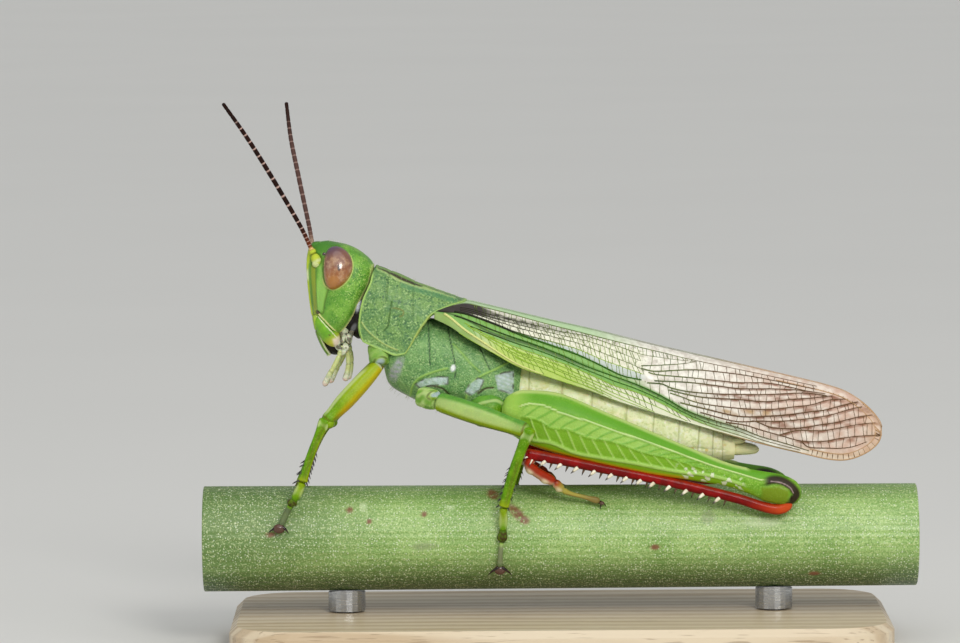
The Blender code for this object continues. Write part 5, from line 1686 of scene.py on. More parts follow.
    def _border(self, reach: float) -> Shape:
        """The thickened edge round the wing, and an inner line with rungs round the tip."""
        round_from, long_steps, tip_steps, end_steps = reach - 3, 150, 40, 9
        both = long_steps + tip_steps
        x = np.concatenate((
            np.linspace(-7, round_from, long_steps),
            round_from + 3 * np.sin(np.linspace(0.03, TURN / 4, tip_steps)),
        ))
        xs = np.concatenate((x, np.full(end_steps, reach - 0.005), x[::-1]))
        shares = np.concatenate((
            np.full(both, 0.004), np.linspace(0.05, 0.95, end_steps), np.full(both, 0.994),
        ))
        points, away = self._lay(xs, shares, reach)
        outer = points - away * 0.03
        edge = tubes(outer[None], 0.034 + 0.021 * ramp(xs, 6, 14), 8, {
            "lime": ramp(xs, 8, 0) * (shares > 0.5) * 0.9, "tan": ramp(xs, 9, 15),
        })
        flat = points[:, ::2]
        ahead = unit(np.gradient(flat, axis=0))
        keep = (xs > 15.2) & ((shares < 0.5) | (xs > 17.2))
        inner = (flat + ahead[:, ::-1] * (1, -1) * self.border)[keep]
        upper, lower, _ = self._outline(inner[:, 0], reach)
        share = np.clip((upper - inner[:, 1]) / (upper - lower), 0.01, 0.98)
        line, lift = self._lay(inner[:, 0], share, reach)
        line = line - lift * 0.03
        run = np.concatenate(([0], np.cumsum(np.linalg.norm(np.diff(inner, axis=0), axis=1))))
        marks = np.arange(0.2, run[-1] - 0.2, 0.36)
        near, far = (
            np.stack([np.interp(marks, run, side[:, k]) for k in range(3)], axis=-1)[:, None]
            for side in (outer[keep], line)
        )
        rungs = near + (far - near) * np.linspace(0, 1, 4)[:, None]
        return joined((edge, tubes(line[None], 0.046, 6, {"tan": 1}), tubes(rungs, 0.042, 4, {"brown": 0.9})))

    def build(self) -> None:
        """Make both fore wings and finish the folded hind wings' solids."""
        skin, horn = WING_SKIN.material(), VEIN_HORN.material()
        for side, reach in self.reaches.items():
            sheet = side.turn(self.sheet(reach))
            net = side.turn(joined((self._vein_net(reach), self._border(reach))))
            fit(sheet, f"fore_wing_{side.word}", skin, "wing_membrane", f"tegmen_{side.word}", wall=self.wall)
            fit(net, f"wing_veins_{side.word}", horn, "wing_membrane")
        dress_nodes(FOLDED_FILM.material(), "hindwing_left", "hindwing_right")


# ------------------------------------------------------------------ legs
LEG_SHELL = Cuticle(
    "leg_shell", (104, 154, 8), (84, 134, 2), patch=0.7, grain=(170, 200, 86), grain_share=0.3,
    grain_size=0.12, dark=(70, 112, 14), roughness=0.36, coat=0.06, glow=0.05, gloss=0.12,
    layers={
        "cool": (96, 164, 90, 0.7), "warm": (202, 152, 4, 0.92), "lemon": (178, 184, 26, 0.8),
        # light is pale tone on the hips and mid feet, and a painted highlight on the fore and mid thighs and
        # first foot segments
        "light": (206, 222, 150, 0.8), "streak": (96, 70, 20, 0.8), "slate": (96, 92, 84, 0.85),
        "pad": (66, 42, 26, 0.95), "blue": (184, 202, 210, 0.92), "edge": (44, 40, 20, 0.85),
    },
)
SPINE_HORN = Cuticle(
    "spine_horn", (244, 238, 216), (226, 214, 186), patch=0.4, roughness=0.3, coat=0.3, depth=0,
    # dusk: painted shade on the inner row of spines
    layers={"dusk": (96, 60, 34, 0.9), "tip": (24, 18, 22, 0.98)},
)
CLAW_HORN = Cuticle(
    "claw_horn", (40, 20, 14), (22, 12, 10), patch=0.3, roughness=0.25, coat=0.4, depth=0,
    layers={"pad": (92, 62, 48, 0.8)},
)
THIGH_SHELL = Cuticle(
    "thigh_shell", (126, 176, 50), (110, 162, 40), grain=(186, 212, 110), grain_share=0.45,
    grain_size=0.12, dark=(74, 120, 20), roughness=0.4, coat=0.05, depth=0.025, glow=0.05, gloss=0.2,
    layers={
        "dorsal": (88, 152, 22, 0.9), "front": (168, 204, 90, 0.75), "crest": (206, 218, 140, 0.7),
        "upper_cell": (154, 192, 88, 0.75), "lower_cell": (120, 168, 30, 0.85),
        "upper_line": (98, 158, 44, 0.75), "lower_line": (176, 210, 110, 0.8),
        "keel_line": (206, 228, 156, 0.85), "belly": (122, 168, 8, 0.85), "amber": (214, 156, 20, 0.9),
        "lobe": (112, 130, 8, 0.8), "flake": (214, 220, 190, 0.85), "knee": (38, 12, 12, 0.97),
        # shine: painted highlight streaks on the knee
        "shine": (226, 196, 192, 0.85),
    },
)
SHIN_SHELL = Cuticle(
    "shin_shell", (142, 4, 3), (108, 2, 2), roughness=0.32, coat=0.1, depth=0.015, gloss=0.12,
    layers={
        # on the hind shins orange and dark also carry a painted highlight on top and painted shade beneath
        "orange": (214, 84, 30, 0.85), "dark": (60, 12, 12, 0.85), "yellow": (168, 160, 70, 0.95),
        "pad": (226, 214, 176, 0.9), "slate": (104, 82, 58, 0.8),
    },
)


STEM_HEIGHT = 7.6
STEM_RADIUS = 3.64  # at its middle
STEM_TAPER = 0.0024  # how much thinner it grows for each millimetre


def stem_side(x: float, height: float, lift: float) -> Point:
    """A point beside the stem: `lift` millimetres off its surface at a given height."""
    reach = STEM_RADIUS - STEM_TAPER * x + lift
    return (x, math.sqrt(reach**2 - (height - STEM_HEIGHT) ** 2), height)


def carried(start: Numbers, end: Numbers, form: Line, bow: float = 0) -> Array:
    """Evenly spread rows of x, y, z, radius between two points.

    Args:
        start: first point.
        end: last point.
        form: pairs of share along and radius.
        bow: how far the middle is carried towards -X, as a sine over the length.

    Returns:
        The rows.
    """
    f = np.linspace(0, 1, 24)
    points = np.asarray(start) + (np.asarray(end) - np.asarray(start)) * f[:, None]
    points[:, 0] -= bow * np.sin(math.pi * f)
    return np.column_stack((points, read(form, f)))


@dataclass
class WalkingLeg:
    """A fore or middle leg: hip, slim thigh, spined shin, three-part foot with claws."""

    pair: str
    side: Side
    hip: Point
    trochanter: Point
    knee: Point
    ankle: Point
    foot: Line  # x, height, lift off the stem
    thigh_form: Line
    hip_radius: float = 0.72
    shin_form: Line = ((0, 0.4), (0.06, 0.42), (0.2, 0.33), (0.6, 0.3), (0.9, 0.31), (1, 0.34))
    spines: int = 8
    claw_length: float = 0.8
    thigh_sides: int = 56
    thigh_ridges: int = 6

    @property
    def fore(self) -> bool:
        """True for the front pair."""
        return self.pair == "fore"

    def hip_cone(self) -> Skin:
        """A short swollen cone from the chest to the trochanter, with a pale plate."""
        form = [(f, self.hip_radius * size) for f, size in ((0, 1), (0.5, 1), (0.8, 0.94), (1, 0.86))]
        rows = carried(self.hip, self.trochanter, form)
        skin, _ = limb(rows, 60, 64, (1, 0, 0) if self.fore else (0, 0, 1), 2.2, 0.1, 0.1)
        x, y, z = skin.xyz
        middle = self.trochanter[0] + 0.05
        light_places = (
            (((middle, 20.25), (0.42, 0.28), 20, 1.9), ((middle, 20.25), (0.62, 0.44), 20, 1.9))
            if self.fore
            else (((-8.6, 18.0), (0.5, 0.2), 10, 2.0), ((-8.6, 17.95), (0.8, 0.4), 10, 2.0))
        )
        plate, rim = (
            spot(x, z, centre, radii, lean) * (y > low) for centre, radii, lean, low in light_places
        )
        patchy = mottle(skin.points, 0.6, 2)
        skin.masks = {
            "blue": plate, "lemon": 0.15 + 0.3 * rim, "light": (0.3 if self.fore else 0.75) * patchy,
            "cool": np.array(0.6), "edge": ramp(np.abs(rim - 0.5), 0.4, 0.2) * ramp(patchy, 0.3, 0.6) * 0.7,
        }
        skin.push(0.05 * rim - 0.05 * plate + 0.05 * patchy)
        return skin

    def thigh(self) -> Skin:
        """The thigh: an oval bar with faint length ridges and a swollen knee."""
        skin, share = limb(
            carried(self.trochanter, self.knee, self.thigh_form), 170, self.thigh_sides, power=2.2,
            round_end=0.05,
        )
        ahead, _, up = np.moveaxis(skin.normals(), -1, 0)
        if self.fore:
            skin.masks = {
                "warm": ramp(ahead - 0.4 * up, 0, 0.8) * ramp(share, 0.98, 0.7) * 0.95,
                "lemon": 0.65 * ramp(share, 1, 0.3), "blue": 0.5 * ramp(share, 0.05, 0.02),
                # light: a painted highlight along the upper side
                "light": ramp(up - ahead, 0.75, 1.15) * between(share, 0.25, 0.85, 0.15) * 0.8,
            }
        else:
            skin.masks = {
                "cool": ramp(up, 0.2, 0.9) * 0.6, "lemon": ramp(up, 0.2, -0.6) * 0.55,
                # edge: a dark line under the thigh deepened by painted shade; light: a painted highlight on
                # its side
                "edge": ramp(up, -0.72, -0.95) * between(share, 0.15, 0.9, 0.1) * 0.75,
                "light": spot(up, share, (0.15, 0.45), (0.7, 0.75)) * 0.6,
            }
        joint = bell(share, 0.955, 0.012)
        skin.masks["streak"] = joint * 0.8
        angle = np.linspace(0, TURN, self.thigh_sides, endpoint=False)
        ridges = np.cos(self.thigh_ridges * angle)
        skin.push(0.018 * ridges * between(share, 0.1, 0.9, 0.08) - 0.04 * joint)
        return skin

    def shin_rows(self) -> Array:
        """Rows of the shin, which begins inside the end of the thigh."""
        knee = np.asarray(self.knee)
        return carried(knee - 0.3 * unit(np.asarray(self.ankle) - knee), self.ankle, self.shin_form, 0.12)

    def knee_lobe(self) -> Shape:
        """The flap at the lower side of the knee, behind the shin."""
        centre = np.asarray(self.knee) + ((0.3, 0, -0.05) if self.fore else (-0.105, 0, -0.3))
        lobe = bead(centre, (0.42, 0.36, 0.36), sides=30)
        # dusk darkens the lobe's lower part as painted shade
        dusk = ramp(lobe.xyz[2], centre[2] - 0.18, centre[2] - 0.34) * 0.8
        lobe.masks = {"lemon": np.array(0.3), "streak": dusk}
        return lobe.shape()

    def shin(self) -> Skin:
        """The shin: a slim four-sided bar, a little bowed."""
        skin, share = limb(self.shin_rows(), 150, 44, power=2.6, round_start=0.03, round_end=0.03)
        ahead, aside, _ = np.moveaxis(skin.normals(), -1, 0)
        dark = between(share, 0.45 - 0.3 * self.fore, 0.88, 0.14)
        skin.masks = {
            "light": spot(share, aside, (0.1, 0.6), (0.07, 0.5)) * 0.8,
            "streak": dark * ramp(np.abs(ahead - 0.1), 0.35, 0.05) * 0.5,
            "lemon": ramp(share, 0.86, 0.98) * 0.6, "edge": bell(share, 0.985, 0.01) * 0.6,
            "warm": (0.35 if self.fore else 0.14) * ramp(ahead, 0.3, 0.9),
        }
        return skin

    def shin_spines(self) -> Shape:
        """Two rows of short spines down the rear of the shin, a few down its front."""
        rows = self.shin_rows()
        parts = []
        down = unit(np.asarray(self.ankle) - np.asarray(self.knee))
        rear = unit(np.cross((0, 1, 0), down)) * (-1 if self.fore else 1)
        for count, low, way, aside in (
            (self.spines, 0.5, 1, 0.48), (self.spines - 1, 0.56, 1, -0.48),
            (3, 0.72, -1, 0.48), (3, 0.66, -1, -0.48),
        ):
            line = smooth_at(rows, np.linspace(low, 0.97, count))
            away = unit(rear * way + np.asarray((0, aside, 0)))
            root = line[:, :3] + away * (line[:, 3:] * 0.72)
            heading = np.broadcast_to(away + down * 0.9, root.shape)
            parts.append(spikes(root, heading, 0.44, 0.062, 6, down * 0.15, 5).marked(tip=1))
        return joined(parts)

    def foot_path(self) -> Array:
        """Centre line of the foot, from the ankle down the side of the stem."""
        return np.asarray([self.ankle] + [stem_side(*row) for row in self.foot])

    def sole(self) -> Skin:
        """Three foot segments: a padded first, a short dark second, a slender third."""
        share = np.linspace(0, 1, 120)
        first, second, thin = (0.4, 0.56, 0.21) if self.fore else (0.34, 0.5, 0.16)
        size = read((
            (0, .24), (.08, .27), (first - .06, .29), (first, .24), (first + .04, .27), (second - .03, .25),
            (second, thin), (second + .08, thin), (.85, thin + .02), (.95, .22), (1, .17),
        ), share)
        rows = np.column_stack((smooth_at(self.foot_path(), share), size))
        skin, place = limb(rows, 150, 36, power=2.2, round_start=0.03, round_end=0.03)
        ahead, aside, _ = np.moveaxis(skin.normals(), -1, 0)
        inner = ramp(aside, 0.2, -0.5)
        pads = np.maximum(np.sin(place * TURN * 6.5), 0) * ramp(place, second + 0.02, second)
        joint = ramp(most(-np.abs(place - first), -np.abs(place - second)), -0.02, 0)
        flap = bell(place, second - 0.05, 0.06) * ramp(np.abs(ahead), 0.55, 0.9)
        skin.masks = {
            "lemon": ramp(place, first, 0.1) * 0.4, "slate": ramp(place, second + 0.02, second + 0.1) * 0.85,
            "pad": most(
                between(place, first + 0.03, second, 0.03) * (0.5 + 0.5 * mottle(skin.points, 0.3, 6)),
                inner * ramp(place, second, first) * 0.8, flap,
            ),
            # light: a painted highlight on the first segment; on the mid feet also the paler third segment
            "light": spot(place, aside, (0.18, 0.5), (0.16, 0.6)) * 0.6
            + (0 if self.fore else 0.6) * between(place, second + 0.05, 0.86, 0.05),
            "edge": joint * 0.8,
        }
        skin.push(0.07 * pads * inner - 0.03 * joint + 0.08 * flap)
        return skin

    def claws(self) -> Shape:
        """Two curved claws and the soft pad between them."""
        path = self.foot_path()
        end, down = path[-1], unit(path[-1] - path[-2])
        parts = []
        for way in (-1, 1):
            heading = down * 0.35 + (way, 0.15, 0)
            root = end + down * 0.05 + (way * 0.1, 0.08, 0)
            bow = down * 0.35 + (-way * 0.15, -0.3, 0)
            parts.append(spikes(root[None], heading[None], self.claw_length, 0.13, 8, bow, 9))
        pad = bead(end + down * 0.22 + (0, 0.02, 0), (0.42, 0.24, 0.34), rings=22, sides=28)
        return joined((*parts, pad.shape().marked(pad=1)))

    def build(self) -> None:
        """Make the whole leg."""
        shell, horn, claw = LEG_SHELL.material(), SPINE_HORN.material(), CLAW_HORN.material()
        word, pair = self.side.word, self.pair
        for part, name in (
            (self.hip_cone(), "coxa"), (joined((self.thigh().shape(), self.knee_lobe())), "femur"),
            (self.shin(), "tibia"), (self.sole(), "tarsus"),
        ):
            node = f"{pair}_{name}_{word}"
            fit(self.side.turn(part), f"{pair}_leg_{name}_{word}", shell, "leg_green", node)
        fit(self.side.turn(self.shin_spines()), f"{pair}_spines_{word}", horn, "leg_green")
        fit(self.side.turn(self.claws()), f"{pair}_claws_{word}", claw, "leg_green")


@dataclass
class WalkingLegs:
    """The four walking legs in their resting places on the stem."""

    fore_thigh: Line = (
        (0, 0.4), (0.06, 0.46), (0.15, 0.52), (0.45, 0.62), (0.7, 0.58), (0.88, 0.46), (0.95, 0.46), (1, 0.4),
    )
    mid_thigh: Line = (
        (0, 0.6), (0.06, 0.66), (0.15, 0.69), (0.5, 0.7), (0.85, 0.56), (0.95, 0.54), (1, 0.46),
    )
    mid_shin: Line = ((0, 0.44), (0.06, 0.46), (0.2, 0.38), (0.6, 0.37), (0.9, 0.36), (1, 0.36))
    fore_hip: Point = (-12.62, 1.55, 21.3)
    mid_hip: Point = (-9.7, 2.3, 17.8)
    mid_trochanter: Point = (-8.6, 3.15, 17.55)

    def build(self) -> None:
        """Make each leg."""
        for side, *places in (
            (Side.LEFT, (-12.55, 2.15, 20.05), (-16.38, 3.6, 16.1), (-17.92, 4.14, 12.0),
             ((-18.4, 10.98, 1.5), (-18.95, 10.05, .75), (-19.5, 8.95, .46))),
            (Side.RIGHT, (-12.4, 2.15, 20.0), (-16.35, 3.45, 15.45), (-18.35, 4.1, 10.95),
             ((-18.95, 9.9, .6), (-19.35, 8.6, .42))),
        ):
            WalkingLeg("fore", side, self.fore_hip, *places, self.fore_thigh).build()
        for side, radius, claw, *places in (
            (Side.LEFT, 0.7, 0.95, (-2.2, 5.15, 15.58), (-3.98, 4.55, 10.2),
             ((-4.02, 8.6, .55), (-4.2, 7.0, .42), (-4.24, 5.95, .42))),
            (Side.RIGHT, 0.74, 0.74, (-1.62, 5.45, 15.25), (-3.45, 4.65, 10.0),
             ((-3.7, 8.4, .55), (-4.0, 6.9, .42), (-4.1, 5.9, .42))),
        ):
            WalkingLeg(
                "mid", side, self.mid_hip, self.mid_trochanter, *places, self.mid_thigh, radius,
                self.mid_shin, 7, claw,
            ).build()


@dataclass
class HindLegs:
    """Jumping legs: ribbed thigh, dark knee, red shin with two rows of spines, long foot."""

    hip_centre: Point = (-5.05, 2.55, 16.75)
    hip_radii: Point = (1.35, 0.8, 1.15)
    hip_band: Line = ((-6.2, 16.9), (-5.4, 17.35), (-4.5, 17.5), (-3.9, 17.2))
    thigh_rows: Line = (  # x, upper z, lower z, centre y, half thickness
        (-4.05, 17.1, 16.3, 3.15, .4), (-3.7, 17.8, 15.6, 3.25, .66), (-2.9, 18.18, 14.85, 3.36, .86),
        (-1.9, 18.22, 14.38, 3.46, .98), (0, 18, 13.78, 3.6, 1.05), (2.8, 16.86, 13.1, 3.74, 1.02),
        (6, 15.48, 12.42, 3.84, .88), (8.9, 14.24, 11.98, 3.9, .72), (11.4, 13.2, 11.55, 3.94, .6),
        (13, 12.76, 11.02, 3.96, .58), (14.2, 12.54, 10.5, 3.98, .66), (15.4, 12.32, 10.24, 4, .74),
        (16.3, 11.9, 10.3, 4, .62), (16.7, 11.4, 10.7, 4, .36),
    )
    upper_keel: Line = (
        (-2.9, 17.2), (-2.17, 17.4), (-1.19, 17.3), (.13, 16.76), (1.9, 16.21), (4.14, 15.4), (5.29, 15),
        (7.94, 14.01), (10.59, 13.01), (12.36, 12.46), (13.85, 12.01),
    )
    lower_keel: Line = (
        (-2.8, 15.4), (-1.92, 14.9), (-.77, 14.72), (1, 13.99), (2.77, 13.65), (5.28, 13.22), (7.93, 12.67),
        (10.59, 12.3), (13.2, 11.5),
    )
    middle: Line = (
        (-2.6, 16.5), (-1.47, 16.23), (-.76, 15.79), (.57, 15.6), (1.89, 15.05), (3.22, 14.85),
        (4.14, 14.59), (5.64, 14.02), (7.58, 13.56), (9.5, 12.95), (12, 12.3),
    )
    knee_arc: Line = (
        (14.12, 11.86), (14.8, 12.02), (15.44, 11.9), (16.05, 11.5), (16.35, 10.95), (15.9, 10.4),
    )
    knee_flap: Line = ((13.95, 11.5), (15.2, 11.62), (15.85, 11.3), (15.8, 10.5), (15.0, 10.35), (14.0, 10.5))
    knee_shine: Line = ((14.6, 11.92), (15.3, 11.82), (15.9, 11.5), (16.15, 11.1))
    knee_furrow: Line = ((13.9, 11.6), (14.9, 11.75), (15.9, 11.4), (16.0, 10.6))
    rib_step: float = 0.85
    shin_rows: Line = (  # x, y, z, half height, half thickness
        (15.55, 4, 10.95, .34, .3), (15.75, 4, 10.2, .36, .32), (15.1, 4, 9.9, .38, .34),
        (14, 4, 10.1, .36, .34), (12, 3.98, 10.74, .35, .33), (7.32, 3.95, 11.9, .35, .33),
        (2, 3.92, 13.02, .35, .33), (-.4, 3.92, 13.52, .37, .34), (-2.45, 3.92, 13.9, .4, .36),
    )
    foot_rows: Line = (  # x, y, z, radius
        (-1.9, 3.92, 13.62, .28), (-2.2, 3.92, 13.1, .34), (-1.45, 3.75, 12.45, .34),
        (-.45, 3.5, 11.85, .32), (.45, 3.24, 11.1, .28), (1.7, 3.05, 10.72, .24), (2.75, 2.95, 10.42, .28),
    )
    foot_form: Line = ((0, 0.9), (0.3, 1.05), (0.6, 0.92), (0.68, 0.66), (0.86, 0.68), (0.95, 0.9), (1, 0.7))
    claw_ways: tuple[tuple[Point, Point], ...] = (  # heading and bow of each claw
        ((0.35, 0.45, -0.9), (-0.4, -0.25, -0.1)), ((0.8, -0.3, -0.3), (-0.15, -0.1, -0.45)),
    )
    spine_places: Numbers = (-1.08, .03, 1.17, 2.38, 3.56, 4.6, 5.57, 6.47, 7.58, 8.76, 9.9, 11)
    spurs: Line = (  # root, heading
        (-1.95, 4.18, 13.5, -0.5, 0.3, -0.8), (-1.9, 3.64, 13.48, -0.4, -0.3, -0.8),
        (-2.2, 4.15, 13.72, -0.95, 0.25, -0.25), (-2.2, 3.68, 13.72, -0.95, -0.25, -0.25),
    )
    right_step: Point = (-0.45, 0.0, -0.4)

    def hip(self) -> Skin:
        """The hip: a broad bead against the chest, with a light band round it."""
        skin = bead(self.hip_centre, self.hip_radii, rings=50, sides=72)
        x, y, z = skin.xyz
        band = stroke(x, z, self.hip_band, 0.3) * (y > 2.4)
        skin.masks = {
            "light": 0.6 * band, "cool": ramp(z, 16.9, 17.6) * 0.5, "lemon": ramp(z, 16.6, 15.8) * 0.4,
        }
        skin.push(0.07 * band + 0.05 * mottle(skin.points, 0.9, 7))
        return skin

    def thigh(self) -> Skin:
        """Upright superellipse rings with raised keels and slanting ribs between them.

        The ribs fall from the middle line to both keels: their number along the thigh is
        x, less a lean that grows with the share of the way to the keel, over their step.
        """
        rows = smooth(self.thigh_rows, 480)
        rings = body_rings(rows[:, (0, 1, 0, 2, 4)], 1.9, 120)
        rings[..., 1] += rows[:, 3:4]
        skin = Skin(rings)
        x, y, z = skin.xyz
        top, low, mid = (read(line, x) for line in (self.upper_keel, self.lower_keel, self.middle))
        flat = ramp(np.abs(y - rows[:, 3:4]) / rows[:, 4:5], 0.25, 0.5)
        above, under = np.clip((z - mid) / (top - mid), 0, 1), np.clip((mid - z) / (mid - low), 0, 1)
        length = between(x, -2.2, 9.6, 0.9) * flat

        def ribs(phase: Array, outer: float, inner: float) -> Array:
            """Soft lines at whole numbers of a phase; outer and inner are their half widths."""
            return ramp(np.abs(phase - np.round(phase)) * self.rib_step, outer, inner)

        in_upper = ramp(above, 0.02, 0.1) * ramp(top - z, 0.02, 0.12) * length
        in_lower = ramp(under, 0, 0.08) * ramp(z - low, 0.02, 0.14) * length
        up_rib = in_upper * ribs((x - 1.25 * above**1.1) / self.rib_step, 0.14, 0.04)
        low_rib = in_lower * ribs((x - (0.62 + 0.04 * x) * under) / self.rib_step + 0.45, 0.095, 0.03)
        keel_high = ramp(np.abs(z - top), 0.07, 0.025) * flat * between(x, -2.6, 13.9, 0.4)
        keel_low = ramp(np.abs(z - low), 0.17, 0.06) * flat * between(x, -2.4, 12.4, 0.6)
        table = np.asarray(self.thigh_rows)
        upper_edge, lower_edge = read(table, x), read(table[:, ::2], x)
        crown = ramp(z, upper_edge - 0.22, upper_edge - 0.03) * between(x, -3.0, 12.8, 0.5)
        lobe = region(x, z, self.knee_flap, 0.35)
        skin.masks = {
            "dorsal": ramp(z - top, 0, 0.14)
            * (0.55 + 0.45 * ramp(np.abs(z - (top + upper_edge) / 2), 0.45, 0.1)),
            "front": ramp(x, -1.6, -3.4) * 0.9, "crest": crown * 0.9, "keel_line": keel_high,
            "upper_cell": in_upper * ramp(x, 8.5, 5.0), "upper_line": up_rib,
            "lower_cell": in_lower * 0.9, "lower_line": most(low_rib, keel_low * 0.8),
            "belly": ramp(low - z, 0.05, 0.2) * ramp(x, -2.6, -1.6) * ramp(x, 14.0, 12.5),
            "amber": ramp(z - lower_edge, 0.34, 0.1) * between(x, -1.0, 8.0, 1.5) * 0.85,
            "lobe": lobe, "knee": stroke(x, z, self.knee_arc, 0.85) * (1 - 0.85 * lobe) * ramp(x, 13.9, 14.5),
            # shine: painted highlight streaks on the dark knee
            "shine": stroke(x, z, self.knee_shine, 0.1) * flat * 0.45,
            "flake": (mottle(skin.points, 0.42, 5) > 0.8) * between(x, 8.6, 12.2, 0.8)
            * ramp(under, 0.1, 0.4) * flat,
        }
        skin.push(
            0.1 * keel_high + 0.08 * keel_low + 0.05 * (crown + up_rib + low_rib - in_upper - in_lower)
            + 0.05 * ramp(np.abs(z - mid), 0.12, 0.03) * length + 0.07 * lobe
            - 0.06 * stroke(x, z, self.knee_furrow, 0.16)
        )
        return skin

    def shin(self) -> Skin:
        """The shin: hooked under the knee, then straight to the foot, swollen at its end."""
        skin, share = limb(self.shin_rows, 320, 40, power=2.2, round_start=0.02, round_end=0.02)
        up = skin.normals()[..., 2]
        skin.masks = {
            # orange: orange near the knee and a painted highlight along the top; dark: dark at the knee and
            # painted shade along the underside
            "orange": most(ramp(share, 0.5, 0.12) * 0.9, 0.25 * ramp(up, 0.2, 0.9)),
            "dark": most(0.85 * ramp(share, 0.05, 0.02), 0.6 * ramp(up, -0.4, -0.9)),
        }
        return skin

    def shin_spines(self) -> Shape:
        """White spines with black tips along the outer edge; along the inner edge ones darkened as painted
        shade.
        """
        line = smooth(self.shin_rows, 300)
        line = line[line[:, 0] < 14]
        line = line[np.argsort(line[:, 0])]
        parts = []
        # The second row, on the far side, is darkened by dusk as painted shade.
        for shift, way, size, dusk in ((0, 1, 0.72, 0), (0.5, -1, 0.66, 1)):
            x = np.asarray(self.spine_places) + shift
            y, z = (np.interp(x, line[:, 0], line[:, k]) for k in (1, 2))
            root = np.column_stack((x + 0.02, y + 0.2 * way, z - 0.26))
            heading = np.tile((-0.78 + 0.5 * dusk, 0.25 * way, -0.66), (len(x), 1))
            made = spikes(root, heading, size, 0.145 - 0.04 * dusk, 8, (0.06, 0, 0.05), 7)
            parts.append(made.marked(dusk=dusk))
        root, heading = np.split(np.asarray(self.spurs), 2, axis=1)
        return joined((*parts, spikes(root, heading, 0.55, 0.07, 8, (0.05, 0, -0.08), 7)))

    def sole(self) -> Skin:
        """The foot: padded red first segments, then a slender yellowish last one."""
        share = np.linspace(0, 1, 140)
        rows = smooth_at(self.foot_rows, share)
        joints = bell(share, 0.5, 0.02) + bell(share, 0.62, 0.02)
        rows[:, 3] *= read(self.foot_form, share) * (1 - 0.28 * joints)
        skin, place = limb(rows, 170, 40, power=2.2, round_end=0.03)
        ahead, _, up = np.moveaxis(skin.normals(), -1, 0)
        low = ramp(up + 0.3 * ahead, 0, -0.6)
        pads = np.maximum(np.sin(place * TURN * 5.5), 0) * ramp(place, 0.66, 0.6)
        skin.masks = {
            "orange": np.array(0.3), "yellow": ramp(place, 0.5, 0.6) * 0.95,
            "pad": low * ramp(place, 0.64, 0.56) * (0.4 + 0.6 * pads),
            "slate": 0.8 * most(ramp(place, 0.7, 0.95), low * ramp(place, 0.64, 0.7)),
            "dark": 0.8 * (bell(place, 0.5, 0.012) + bell(place, 0.63, 0.012)),
        }
        skin.push(0.09 * pads * low)
        return skin

    def claws(self) -> Shape:
        """Two dark claws curved over the stem, and the pad between them."""
        end = np.asarray(self.foot_rows[-1][:3])
        parts = [
            spikes(end[None] + (0.03, 0, 0), np.asarray(heading)[None], 0.62, 0.07, 8, bow, 9)
            for heading, bow in self.claw_ways
        ]
        pad = bead(end + (0.12, 0, -0.14), (0.2, 0.16, 0.14), rings=14, sides=18)
        return joined((*parts, pad.shape().marked(pad=1)))

    def build(self) -> None:
        """Make both legs; the right one lies a little lower and further forward."""
        leg, thigh = LEG_SHELL.material(), THIGH_SHELL.material()
        red, horn, claw = SHIN_SHELL.material(), SPINE_HORN.material(), CLAW_HORN.material()
        moving = (
            ("hip", "leg_green", leg, self.hip(), ("hind_coxa",), (0, 0, 0)),
            ("thigh", "leg_green", thigh, self.thigh(), ("hind_femur",), (1, 1, 1)),
            ("shin", "leg_red", red, self.shin(), ("hind_tibia",), (1, 1, 1)),
            ("foot", "leg_red", red, self.sole(), ("hind_tarsus",), (1, 1, 0.5)),
            ("shin_spines", "leg_red", horn, self.shin_spines(), (), (1, 1, 1)),
            ("claws", "leg_red", claw, self.claws(), (), (1, 1, 0.5)),
        )
        for side in Side:
            for part, slot, finish, shape, nodes, share in moving:
                step = np.asarray(self.right_step) * share * (side is Side.RIGHT)
                nodes = [f"{node}_{side.word}" for node in nodes]
                fit(side.turn(shape).moved(step), f"hind_{part}_{side.word}", finish, slot, *nodes)


# ------------------------------------------------------------------ perch, stand and studio
def rush_skin() -> bpy.types.Material:
    """Skin of the living stem: sage green, fine lengthwise lines, white flecks and stains, with painted shade
    along its underside and towards its -X end.
    """
    mix = Recipe("rush_skin")
    colour = mix.mix(mix.noise(4.0, 4.0).band(0.35, 0.65), (152, 184, 104), (130, 166, 84))
    lines, fine = mix.noise(0.3, 2.0, (16, 1, 1)), mix.noise(0.11)
    distance, chance = mix.cells(0.17)
    flecks = distance.band(0.36, 0.18) * chance.band(0.5, 0.62)
    edge = mix.noise(0.35, 3.0).band(0.3, 0.5)
    pith = mix.mix(mix.cells(0.34)[0].band(0.3, 0.8), (222, 226, 188), (168, 186, 124))
    for share, swatch in (
        # low is painted shade: the stem's underside and its -X end
        (mix.mask("top") * 0.8, (106, 138, 72)), (mix.mask("low") * 0.95, (34, 62, 8)),
        (lines.band(0.5, 0.72, 0, 0.1), (186, 206, 146)), (lines.band(0.5, 0.28, 0, 0.1), (112, 148, 76)),
        (fine.band(0.53, 0.66) * 0.6, (202, 216, 160)), (fine.band(0.47, 0.36) * 0.6, (88, 124, 52)),
        (flecks * 0.7, (226, 234, 206)), (mix.mask("pale") * 0.45, (206, 222, 176)),
        (mix.mask("grey") * edge * 0.6, (132, 144, 104)), (mix.mask("stain") * edge * 0.9, (122, 66, 44)),
        (mix.mask("pith"), pith),
    ):
        colour = mix.mix(share, colour, swatch)
    return mix.finish(
        colour, lines.band(0.3, 0.7, 0.36, 0.5), lines * 0.3 + fine * 0.5 + flecks * 0.4, 0.03,
        Coat_Weight=0.12, Coat_Roughness=0.3, Subsurface_Weight=0.05, Subsurface_Scale=0.5 * MM,
    )


